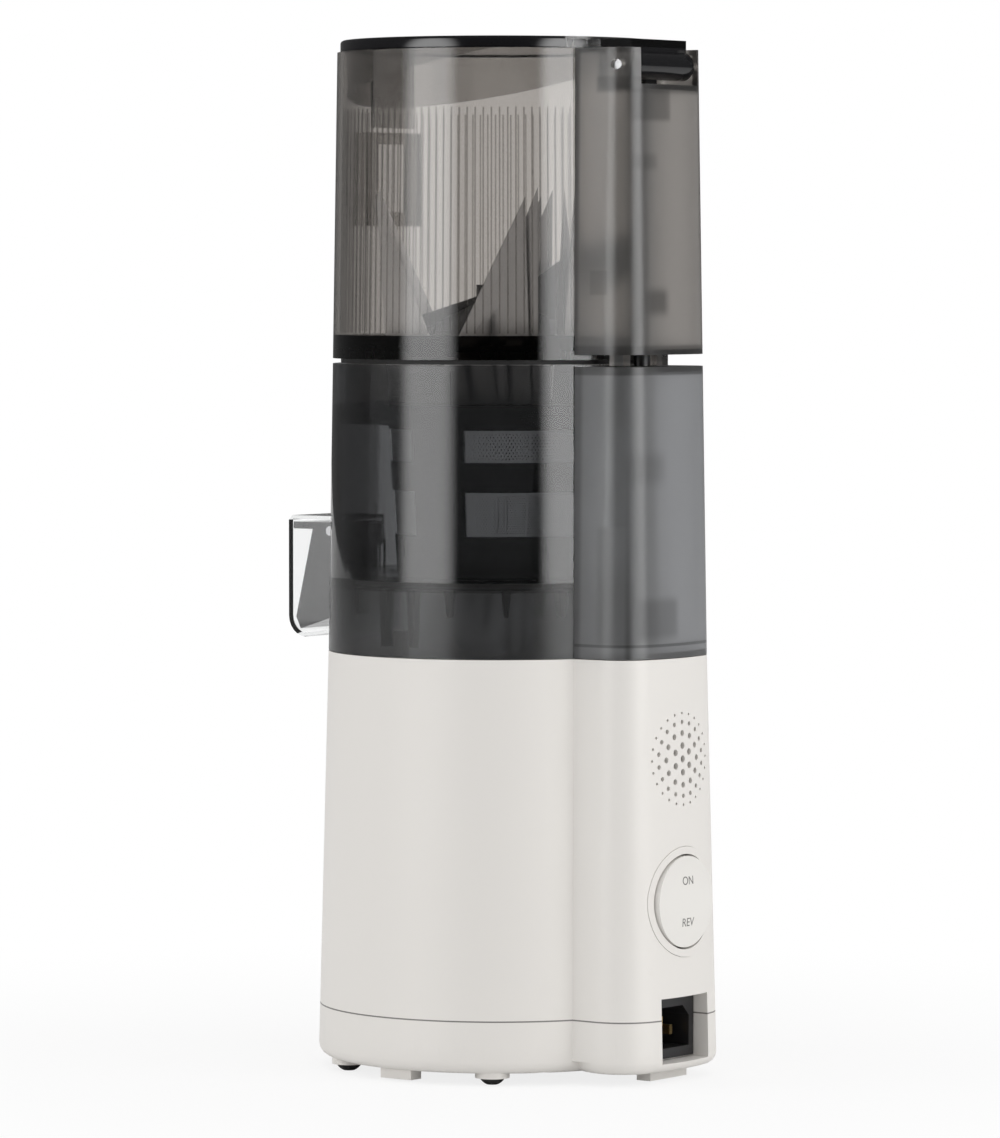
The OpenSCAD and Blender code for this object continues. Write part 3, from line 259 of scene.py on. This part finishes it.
def clear(name, tint, rough, dye, density, through=1.0, edge=0.0, boxes=(), frost=None, ior=1.46):
    material, tree, shader, place = blank(name)
    shader.inputs["Transmission Weight"].default_value = through
    shader.inputs["IOR"].default_value = ior
    # Painted shade: the colour darkens where the wall turns away from view, by the edge amount.
    turned = node(tree, "ShaderNodeLayerWeight", {}, {"Blend": 0.5}, output=1)
    light = (1 - turned * edge) * tone_of(tree, place, boxes)
    colour = node(tree, "ShaderNodeMix", {"data_type": "RGBA"}, {
        0: light, 6: (0, 0, 0, 1), 7: (*tint, 1)}, output=2)
    tree.links.new(colour.socket, shader.inputs["Base Color"])
    uneven = noise(tree, place, 20.0) * 0.03 + max(0.0, rough - 0.015)
    if frost:
        height = node(tree, "ShaderNodeSeparateXYZ", {}, [place], output=2)
        uneven = uneven + between(tree, height, frost[0], frost[1], 0.4) * frost[2]
    tree.links.new(uneven.socket, shader.inputs["Roughness"])
    if density:
        dyed = node(tree, "ShaderNodeVolumeAbsorption", {}, {"Color": (*dye, 1), "Density": density})
        output = next(n for n in tree.nodes if n.type == "OUTPUT_MATERIAL")
        tree.links.new(dyed.socket, output.inputs["Volume"])
    return material


# %% [markdown]
# ## What stands behind the rear covers
#
# The frosted covers blur the ribs, hooks and channels behind them to soft dark patches, which are painted
# shade here: each patch is a soft box in the cover's own space that darkens the cover's colour. The rounded
# corners, where the wall is seen along its length, get the darkest painted shade.

# %% Painted shade in the covers
# Painted shade: a dark band down each rounded corner, then soft dark patches for each cover.
corner_painted_shade = [
    (((27.5, 60), (88.0, 200), None), 1.3, 0.80),
    (((-60, -27.5), (88.0, 200), None), 1.3, 0.80)]
hopper_painted_shade = corner_painted_shade + [
    (((18, 26), (85, 200), (300, 425)), 2.2, 0.43), (((3, 24), (85, 200), (400, 413)), 1.5, 0.46),
    (((12, 24), (85, 200), (380, 386)), 2.0, 0.31), (((6, 18), (85, 200), (320, 330)), 3.0, 0.54),
    (((28, 60), (70.5, 79), (328, 338)), 0.6, 0.25), ((None, (73, 200), (411.5, 418)), 1.0, 0.31),
    ((None, None, (300, 307)), 0.8, 0.46), ((None, (40, 64.5), None), 1.0, 0.46)]
chamber_painted_shade = corner_painted_shade + [
    ((None, None, (294.8, 310)), 0.5, 0.54), (((27, 60), (40, 67), None), 1.6, 0.46),
    (((27, 60), (81, 90), (232, 296)), 1.5, 0.31), (((27, 60), (76, 90), (183, 232)), 2.0, 0.25),
    (((10, 27), (85, 200), (250, 262)), 4.0, 0.25), (((2, 24), (85, 200), (186, 202)), 2.5, 0.34),
    (((14, 26), (85, 200), (183, 296)), 3.0, 0.22), ((None, None, (182.2, 183.4)), 0.25, 0.54)]

# %% Make the clear finishes
finish.update({
    "smoky_clear": clear("smoky_clear", (0.90, 0.885, 0.87), 0.03, (0.30, 0.27, 0.24), 210.0, edge=0.7),
    "smoky_cool": clear("smoky_cool", (0.86, 0.865, 0.87), 0.04, (0.20, 0.205, 0.215), 430.0, edge=0.85,
                        boxes=[((None, None, (150, 208.6)), 0.3, 0.3), ((None, None, (204.6, 210.6)), 0.3, 0.5),
                               (((-4, 75), (-90, -40), (209, 282)), 0.8, 0.6)], frost=(150, 208.6, 0.2)),
    "frosted_clear": clear("frosted_clear", (0.84, 0.825, 0.81), 0.28, (0.34, 0.31, 0.28), 230.0, 0.96,
                           boxes=hopper_painted_shade),
    "frosted_cool": clear("frosted_cool", (0.82, 0.825, 0.835), 0.30, (0.31, 0.32, 0.34), 220.0, 0.90,
                          boxes=chamber_painted_shade),
    "flute_line": clear("flute_line", (0.60, 0.59, 0.58), 0.03, (0.3, 0.27, 0.24), 0.0, ior=1.03),
    "smoky_lid": clear("smoky_lid", (0.86, 0.85, 0.84), 0.04, (0.24, 0.22, 0.20), 330.0, edge=0.4),
    "clear_plastic": clear("clear_plastic", (0.97, 0.972, 0.972), 0.015, (0.7, 0.72, 0.72), 12.0),
})
slot_of = {part["node"]: part["material_slot"] for part in frame["record"]["subparts"]}
finish_of = dict(slot_of, chamber_bowl="smoky_cool", chamber_back="frosted_cool", lid="smoky_lid")
for name, part in frame["nodes"].items():
    part.data.materials.clear()
    part.data.materials.append(finish[finish_of[name]])
print("finishes:", len(finish))

# %% [markdown]
# ## Smooth copies of the solids
#
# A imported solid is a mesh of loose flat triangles. Copied, merged and shaded smooth except across real
# edges, the same mesh reads as one moulded surface. The solid keeps its job in the frame, and the copy
# is what shows.

# %% A smooth copy with real edges kept
def finish_piece(bm, name, body, slot, replaced=(), sharp=32, material=None):
    bmesh.ops.recalc_face_normals(bm, faces=bm.faces)
    for face in bm.faces:
        face.smooth = True
    for edge in bm.edges:
        edge.smooth = edge.is_manifold and edge.calc_face_angle(0) < math.radians(sharp)
    mesh = bpy.data.meshes.new(name)
    bm.to_mesh(mesh)
    bm.free()
    piece = bpy.data.objects.new(name, mesh)
    bpy.context.scene.collection.objects.link(piece)
    mesh.materials.append(finish[material or slot])
    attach(piece, body)
    if replaced:
        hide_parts(*replaced)
    return piece


def merged_copy(name):
    bm = bmesh.new()
    bm.from_mesh(frame["nodes"][name].data)
    bmesh.ops.remove_doubles(bm, verts=bm.verts, dist=4e-6)
    bmesh.ops.dissolve_degenerate(bm, edges=bm.edges, dist=1e-6)
    return bm


def smooth_copy(name, sharp=32, dissolve=0.5):
    bm = merged_copy(name)
    bmesh.ops.dissolve_limit(bm, angle_limit=math.radians(dissolve), verts=bm.verts, edges=bm.edges)
    body = frame["nodes"][name]["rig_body"]
    return finish_piece(bm, name + "_look", body, slot_of[name], (name,), sharp, finish_of[name])


shown = ["feet", "switch_bezel", "switch_rocker", "power_inlet", "chamber_bowl", "chamber_back",
         "strainer_cage", "juicing_screw", "cutting_wing", "juice_valve", "juice_cover", "hopper_back",
         "chute_guard", "lid_hinge", "hopper_gasket", "inlet_pins"]
look = {name: smooth_copy(name) for name in shown}
# The hopper keeps its small rim roundings faceted, and only its walls are smoothed.
look["hopper_drum"] = smooth_copy("hopper_drum", sharp=12)
print("smooth copies:", len(look))

# %% [markdown]
# ## The seam around the tray
#
# The base shell and its tray meet in one line around the foot. Both mouldings have a small chamfer there,
# and the two chamfers together make the fine groove that catches a shadow. A bevel on the outer edges at
# that height cuts it. The white shell's colour also carries a painted shadow line at that height.

# %% Cut the seam groove
SEAM_Z = 27.0


def outer_rim(bm, height, reach=0.02):
    """The sharp outer edges at one height, in millimetres."""
    rim = []
    for edge in bm.edges:
        middle = (edge.verts[0].co + edge.verts[1].co) / 2
        if any(abs(v.co.z - height * MM) > reach * MM for v in edge.verts) or len(edge.link_faces) != 2:
            continue
        upright = [f for f in edge.link_faces if abs(f.normal.z) < 0.5]
        if len(upright) == 1 and upright[0].normal.xy.dot(middle.xy) > 0 and middle.xy.length > 0.05:
            rim.append(edge)
    return rim


for name in ("base_shell", "base_tray"):
    bm = merged_copy(name)
    bmesh.ops.dissolve_limit(bm, angle_limit=math.radians(0.5), verts=bm.verts, edges=bm.edges)
    rim = outer_rim(bm, SEAM_Z)
    bmesh.ops.bevel(bm, geom=rim, offset=0.4 * MM, offset_type="OFFSET", segments=1, profile=0.5,
                    affect="EDGES", clamp_overlap=True, material=-1)
    print(name, "edges along the seam:", len(rim))
    look[name] = finish_piece(bm, name + "_look", "base", slot_of[name], (name,))

# %% [markdown]
# ## Flutes in the hopper
#
# The hopper's wall carries fine upright flutes on its inside, from just above the funnel to below the
# rim. One slim bar, leaned to the wall's taper, is copied all round. Each bar takes a little of the light
# that passes through it, which gives the wall its fine vertical lines.

# %% An outline spun about the drive axis
DECK_Z, DECK_R, TOP_Z = 177, 71.8, 430


def drum_radius(height):
    """The outer wall's radius: 3.8 wider at the tray than at the deck, and 4 narrower at the top."""
    if height < DECK_Z:
        return DECK_R + 3.8 * (DECK_Z - height) / 150
    return DECK_R + -4 * (height - DECK_Z) / (TOP_Z - DECK_Z)


def spun(outline, steps=96):
    """Spin a closed outline of (radius, height) points, in millimetres, into a ring-shaped solid."""
    bm = bmesh.new()
    points = [bm.verts.new((radius * MM, 0, height * MM)) for radius, height in outline]
    sides = [bm.edges.new(pair) for pair in zip(points, points[1:] + points[:1])]
    bmesh.ops.spin(bm, geom=points + sides, cent=(0, 0, 0), axis=(0, 0, 1), dvec=(0, 0, 0),
                   angle=math.tau, steps=steps, use_merge=True)
    bmesh.ops.recalc_face_normals(bm, faces=bm.faces)
    return bm


# %% Stand the flutes along the wall
FLUTES, WALL, FLUTE_LOW, FLUTE_HIGH = 124, 2.5, 312.0, 405.6
FLUTE_DEEP, FLUTE_WIDE, FLUTE_OFF = 0.25, 0.7, 0.04
flutes_bm = bmesh.new()
bar = bmesh.ops.create_cube(flutes_bm, size=1.0)["verts"]
bmesh.ops.scale(flutes_bm, vec=(FLUTE_DEEP, FLUTE_WIDE, FLUTE_HIGH - FLUTE_LOW), verts=bar)
bmesh.ops.translate(flutes_bm, vec=(0, 0, (FLUTE_LOW + FLUTE_HIGH) / 2), verts=bar)
for vert in bar:
    vert.co.x += drum_radius(vert.co.z) - WALL - FLUTE_OFF - FLUTE_DEEP / 2
bmesh.ops.spin(flutes_bm, geom=flutes_bm.verts[:] + flutes_bm.edges[:] + flutes_bm.faces[:], cent=(0, 0, 0),
               axis=(0, 0, 1), dvec=(0, 0, 0), angle=math.tau * (FLUTES - 1) / FLUTES, steps=FLUTES - 1,
               use_duplicate=True)
bmesh.ops.scale(flutes_bm, vec=(MM, MM, MM), verts=flutes_bm.verts)
look["flutes"] = finish_piece(flutes_bm, "hopper_flutes", "hopper", slot_of["hopper_drum"],
                              ("hopper_drum",), 30, "flute_line")
print("flutes:", FLUTES)

# %% [markdown]
# ## Ribs in the skirt
#
# Tapered ribs hang from the bowl's floor inside its skirt, short ones all round and a long pair at each
# side that guides the bowl on to the base. They touch the frosted wall, so they show through it as dark
# wedges with fairly sharp edges. Each is a small block whose lower end is scaled down.

# %% Hang the ribs
RIB_TOP, SHORT_RIB, LONG_RIB = 205.4, 11.0, 24.0
RIB_ANGLES = [*range(20, 161, 20), *range(240, 341, 20)]


def rib(bm, angle, length):
    block = bmesh.ops.create_cube(bm, size=1.0)["verts"]
    bmesh.ops.scale(bm, vec=(5.2, 3.7, length), verts=block)
    foot = [vert for vert in block if vert.co.z < 0]
    bmesh.ops.scale(bm, vec=(1, 0.42, 1), verts=foot)
    bmesh.ops.translate(bm, vec=(66.75, 0, RIB_TOP - length / 2), verts=block)
    bmesh.ops.rotate(bm, cent=(0, 0, 0), matrix=Matrix.Rotation(math.radians(angle), 3, "Z"), verts=block)


ribs_bm = bmesh.new()
for angle in RIB_ANGLES:
    rib(ribs_bm, angle, SHORT_RIB)
for angle in (-6, 6, 174, 186):
    rib(ribs_bm, angle, LONG_RIB)
bmesh.ops.scale(ribs_bm, vec=(MM, MM, MM), verts=ribs_bm.verts)
look["ribs_of_skirt"] = finish_piece(ribs_bm, "skirt_ribs", "chamber", slot_of["chamber_bowl"],
                                     ("chamber_bowl",), 30, "dark_plastic")
print("skirt ribs:", len(RIB_ANGLES) + 4)

# %% [markdown]
# ## The strainer's drilled sheet
#
# The strainer is a black cage with steel sheet in its windows, and the sheet is drilled with hundreds of
# fine holes. Six-sided cells pack without gaps, so a field of hexagons is laid around the cage, and each
# cell is inset and its middle taken out. What stays is the web between the holes. A solidify gives the
# sheet its thickness. Cut holes with a boolean would take minutes and leave ragged triangles.

# %% Lay, drill and thicken the sheet
CAGE_FOOT_Z, WINDOW_START, WINDOW_SPAN, SHEET = 208.7, 19.3, 86.4, 0.5


def sheet_radius(height):
    return 42.5 + 4 * (height - CAGE_FOOT_Z) / 65 - 0.6


def drilled_sheet(name, low, high, pitch, web, margin, replaced):
    middle = sheet_radius((low + high) / 2)
    count = round(math.radians(WINDOW_SPAN) * middle / pitch) - 1
    turn = math.radians(WINDOW_SPAN) / (count + 1)
    side = 2 * middle * math.tan(turn / 2) / math.sqrt(3)
    rows = int((high - low - 2 * margin) / (1.5 * side))
    first = (low + high) / 2 - (rows - 1) * 0.75 * side
    bm = bmesh.new()
    for row in range(rows):
        start = math.radians(WINDOW_START) + turn * (0.75 + 0.5 * (row % 2))
        placed = (Matrix.Rotation(start, 4, "Z") @ Matrix.Translation((middle, 0, first + row * 1.5 * side))
                  @ Matrix.Rotation(math.pi / 2, 4, "Y"))
        bmesh.ops.create_circle(bm, cap_ends=True, segments=6, radius=side, matrix=placed)
    column = bm.verts[:] + bm.edges[:] + bm.faces[:]
    bmesh.ops.spin(bm, geom=column, cent=(0, 0, 0), axis=(0, 0, 1), dvec=(0, 0, 0),
                   angle=turn * (count - 1), steps=count - 1, use_duplicate=True)
    bmesh.ops.remove_doubles(bm, verts=bm.verts, dist=0.06)
    cells = bm.faces[:]
    border = [edge for edge in bm.edges if edge.is_boundary]
    grown = bmesh.ops.extrude_edge_only(bm, edges=border)["geom"]
    ends = [item for item in grown if isinstance(item, bmesh.types.BMVert)]
    start, stop = math.radians(WINDOW_START), math.radians(WINDOW_START + WINDOW_SPAN)
    top, bottom = first + (rows - 1) * 1.5 * side, first
    for vert in ends:
        angle = math.atan2(vert.co.y, vert.co.x)
        if vert.co.z > top + 0.1 * side:
            vert.co.z = high
        elif vert.co.z < bottom - 0.1 * side:
            vert.co.z = low
        else:
            angle = start if angle < (start + stop) / 2 else stop
        vert.co.x, vert.co.y = middle * math.cos(angle), middle * math.sin(angle)
    bmesh.ops.inset_individual(bm, faces=cells, thickness=web / 2, use_even_offset=True)
    bmesh.ops.delete(bm, geom=cells, context="FACES")
    whole = bm.verts[:] + bm.edges[:] + bm.faces[:]
    bmesh.ops.spin(bm, geom=whole, cent=(0, 0, 0), axis=(0, 0, 1), dvec=(0, 0, 0),
                   angle=math.radians(240), steps=2, use_duplicate=True)
    bmesh.ops.recalc_face_normals(bm, faces=bm.faces)
    bmesh.ops.solidify(bm, geom=bm.faces[:], thickness=SHEET)
    outermost = max(vert.co.xy.length for vert in bm.verts)
    for vert in bm.verts:
        outward = sheet_radius(vert.co.z) - (0 if vert.co.xy.length > outermost - SHEET / 2 else SHEET)
        vert.co.xy *= outward / vert.co.xy.length
    bmesh.ops.scale(bm, vec=(MM, MM, MM), verts=bm.verts)
    print(name, "cells:", 3 * len(cells), "rows:", rows, "faces:", len(bm.faces))
    return finish_piece(bm, name, "chamber", slot_of["strainer_mesh"], replaced, 30)


look["sheet_low"] = drilled_sheet("strainer_sheet_low", 226.7, 245.2, 1.12, 0.42, 0.7, ("strainer_mesh",))
look["sheet_high"] = drilled_sheet("strainer_sheet_high", 257.7, 271.2, 1.5, 0.56, 0.6, ("strainer_mesh",))

# %% Pressed ribs in the lower sheet
rib_bm = bmesh.new()
for third in range(3):
    for angle in (36.8, 41.6):
        turned = Matrix.Rotation(math.radians(angle + 120 * third), 4, "Z")
        place_at = Matrix.Translation((sheet_radius(236) - 0.1, 0, 236))
        lean = Matrix.Rotation(math.atan(4 / 65), 4, "Y")
        shape = Matrix.Diagonal((0.55, 0.75, 8.0, 1))
        bmesh.ops.create_uvsphere(rib_bm, u_segments=16, v_segments=10, radius=1.0,
                                  matrix=turned @ place_at @ lean @ shape)
bmesh.ops.scale(rib_bm, vec=(MM, MM, MM), verts=rib_bm.verts)
look["ribs"] = finish_piece(rib_bm, "strainer_ribs", "chamber", slot_of["strainer_mesh"], ("strainer_mesh",))
print("pressed ribs:", 6)

# %% [markdown]
# ## The lid
#
# The lid is a disc with a thick rounded rim, which looks black because light crosses the dyed plastic the
# long way. Under it hangs a round skirt that slopes towards the hinge. The rim is spun here as a piece of
# its own, and the disc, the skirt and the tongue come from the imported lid, cut free of the old rim.

# %% Spin the rim and keep the rest
LID_R, LID_Z = 66.5, 430.2
rim_bm = spun([(LID_R - 3, LID_Z), (LID_R - 0.3, LID_Z), (LID_R, LID_Z + 0.3), (LID_R, LID_Z + 3.6),
               (LID_R - 0.35, LID_Z + 4.4), (LID_R - 1.1, LID_Z + 4.8), (LID_R - 2.2, LID_Z + 4.8),
               (LID_R - 3, LID_Z + 4.2)], 180)
look["lid_rim"] = finish_piece(rim_bm, "lid_rim", "lid_set", slot_of["lid"], ("lid",), 40, "black_gloss")
lid_bm = merged_copy("lid")
doomed = [face for face in lid_bm.faces if face.calc_center_median().xy.length > (LID_R - 3.3) * MM
          and face.calc_center_median().y < 0.058 and face.calc_center_median().z > LID_Z * MM + 1e-5]
bmesh.ops.delete(lid_bm, geom=doomed, context="FACES")
bmesh.ops.holes_fill(lid_bm, edges=[edge for edge in lid_bm.edges if edge.is_boundary], sides=0)
bmesh.ops.dissolve_limit(lid_bm, angle_limit=math.radians(0.5), verts=lid_bm.verts, edges=lid_bm.edges)
look["lid"] = finish_piece(lid_bm, "lid_look", "lid_set", slot_of["lid"], ("lid",), 32, "smoky_lid")
print("lid faces:", len(look["lid"].data.polygons))

# %% [markdown]
# ## Words on the switch
#
# The rocker carries the plain words ON and REV in grey ink. Blender's own text makes the outline, which
# becomes a mesh, and a ray from behind sets each of its points on the rocker's curved face.

# %% Print ON and REV
def printed(word, height, size):
    text = bpy.data.curves.new(word, "FONT")
    text.body, text.size, text.align_x, text.align_y = word, size * MM, "CENTER", "CENTER"
    holder = bpy.data.objects.new(word, text)
    bpy.context.scene.collection.objects.link(holder)
    bpy.context.view_layer.update()
    bm = bmesh.new()
    bm.from_mesh(holder.to_mesh())
    bpy.data.objects.remove(holder)
    bmesh.ops.triangulate(bm, faces=bm.faces)
    stand = Matrix.Translation((0, 0, height * MM)) @ Matrix.Rotation(math.pi, 4, "Z") @ Matrix.Rotation(
        math.pi / 2, 4, "X")
    bmesh.ops.transform(bm, matrix=stand, verts=bm.verts)
    rocker = look["switch_rocker"]
    for vert in bm.verts:
        hit, point, normal, index = rocker.ray_cast(Vector((vert.co.x, 0.2, vert.co.z)), Vector((0, -1, 0)))
        vert.co.y = point.y + 0.00004 if hit else 0.1
    bmesh.ops.solidify(bm, geom=bm.faces[:], thickness=0.00006)
    return finish_piece(bm, "word_" + word.lower(), "rocker", slot_of["switch_rocker"], (), 30, "grey_ink")


SWITCH_Z, WORD_OFF, WORD_SIZE = 75.5, 8.7, 5.0
words = [printed("ON", SWITCH_Z + WORD_OFF, WORD_SIZE), printed("REV", SWITCH_Z - WORD_OFF, WORD_SIZE)]
print("words:", [len(word.data.polygons) for word in words])

# %% [markdown]
# ## Floor and light
#
# The floor is nearly white and keeps a soft shadow under the feet. Camera rays, and rays that passed
# through plastic, see plain white, so clear parts look clean against it. Towards the horizon the floor
# fades into the same white, and no edge shows.

# %% The floor
floor_bm = bmesh.new()
bmesh.ops.create_grid(floor_bm, x_segments=1, y_segments=1, size=6.0)
floor_mesh = bpy.data.meshes.new("floor")
floor_bm.to_mesh(floor_mesh)
floor_bm.free()
floor = bpy.data.objects.new("floor", floor_mesh)
bpy.context.scene.collection.objects.link(floor)
floor_material = bpy.data.materials.new("floor")
floor_material.use_nodes = True
tree = floor_material.node_tree
tree.nodes.clear()
rays = node(tree, "ShaderNodeLightPath").socket.node
seen = node(tree, "ShaderNodeMath", {"operation": "MAXIMUM"}, [
    Wire(tree, rays.outputs["Is Camera Ray"]), Wire(tree, rays.outputs["Is Transmission Ray"])])
place = node(tree, "ShaderNodeTexCoord", output=3)
far = node(tree, "ShaderNodeVectorMath", {"operation": "LENGTH"}, [place], output=1)
fade = node(tree, "ShaderNodeMapRange", {"interpolation_type": "SMOOTHSTEP"},
            {"Value": far, "From Min": 0.08, "From Max": 0.5, "To Min": 0.82, "To Max": 1.0})
matte = node(tree, "ShaderNodeBsdfDiffuse", {}, {"Color": (0.86, 0.86, 0.86, 1)})
glow = node(tree, "ShaderNodeEmission", {}, {"Color": (1, 1, 1, 1), "Strength": 1.0})
mixed = node(tree, "ShaderNodeMixShader", {}, [seen * fade, matte, glow])
output = tree.nodes.new("ShaderNodeOutputMaterial")
tree.links.new(mixed.socket, output.inputs["Surface"])
floor.data.materials.append(floor_material)
print("floor size:", round(floor.dimensions.x, 1))

# %% [markdown]
# ## The studio around it
#
# Clear plastic lives from what it reflects. A studio lights such a part with two tall soft screens, one
# towards the front and one behind, and keeps the side between them dark, so that the round walls get two
# bright upright bands with a dark one between. Here the world holds those screens for glossy rays only.
# The lamps then light the opaque parts evenly, at a level where a white base doesn't clip.

# %% The surround
def screen(direction, inner, outer):
    """1 in the middle of a soft screen that stands in this direction, 0 outside it."""
    near = node(tree, "ShaderNodeVectorMath", {"operation": "DOT_PRODUCT"}, [
        look_way, (math.cos(math.radians(direction)), math.sin(math.radians(direction)), 0)], output=1)
    return node(tree, "ShaderNodeMapRange", {"interpolation_type": "SMOOTHSTEP"},
                {"Value": near, "From Min": math.cos(math.radians(outer)),
                 "From Max": math.cos(math.radians(inner))})


world = bpy.data.worlds.new("studio")
bpy.context.scene.world = world
world.use_nodes = True
tree = world.node_tree
tree.nodes.clear()
rays = node(tree, "ShaderNodeLightPath").socket.node
clean = node(tree, "ShaderNodeMath", {"operation": "MAXIMUM"}, [
    Wire(tree, rays.outputs["Is Camera Ray"]), Wire(tree, rays.outputs["Is Transmission Ray"])])
glossy = Wire(tree, rays.outputs["Is Glossy Ray"]) * (1 - clean)
sky = node(tree, "ShaderNodeTexCoord", output=0)
flat = node(tree, "ShaderNodeVectorMath", {"operation": "MULTIPLY"}, [sky, (1, 1, 0.55)])
look_way = node(tree, "ShaderNodeVectorMath", {"operation": "NORMALIZE"}, [flat])
screens = (0.1 - screen(37, 20, 50) * 0.08) + screen(-13, 8, 24) * 5.5 + screen(88, 10, 24) * 6.5
strength = clean + glossy * screens + (1 - clean) * (1 - glossy) * 0.7
background = node(tree, "ShaderNodeBackground", {}, {"Color": (1, 1, 1, 1), "Strength": strength})
output = tree.nodes.new("ShaderNodeOutputWorld")
tree.links.new(background.socket, output.inputs["Surface"])


# %% The lamps
def softbox(name, place, size, power):
    lamp = bpy.data.lights.new(name, "AREA")
    lamp.shape = "RECTANGLE"
    lamp.size, lamp.size_y = size
    lamp.energy = power
    holder = bpy.data.objects.new(name, lamp)
    holder.location = place
    aim = Vector((0, 0, 0.22)) - Vector(place)
    holder.rotation_euler = aim.to_track_quat("-Z", "Y").to_euler()
    holder.visible_glossy = False
    bpy.context.scene.collection.objects.link(holder)
    return holder


lamps = [softbox("front_light", (1.6, -1.9, 0.9), (1.4, 1.8), 13),
         softbox("rear_light", (-0.6, 2.4, 0.9), (1.4, 1.8), 18),
         softbox("top_light", (0.5, 0.4, 2.4), (1.6, 1.6), 7)]
bpy.context.scene.view_settings.view_transform = "Standard"
print("lamps:", len(lamps))
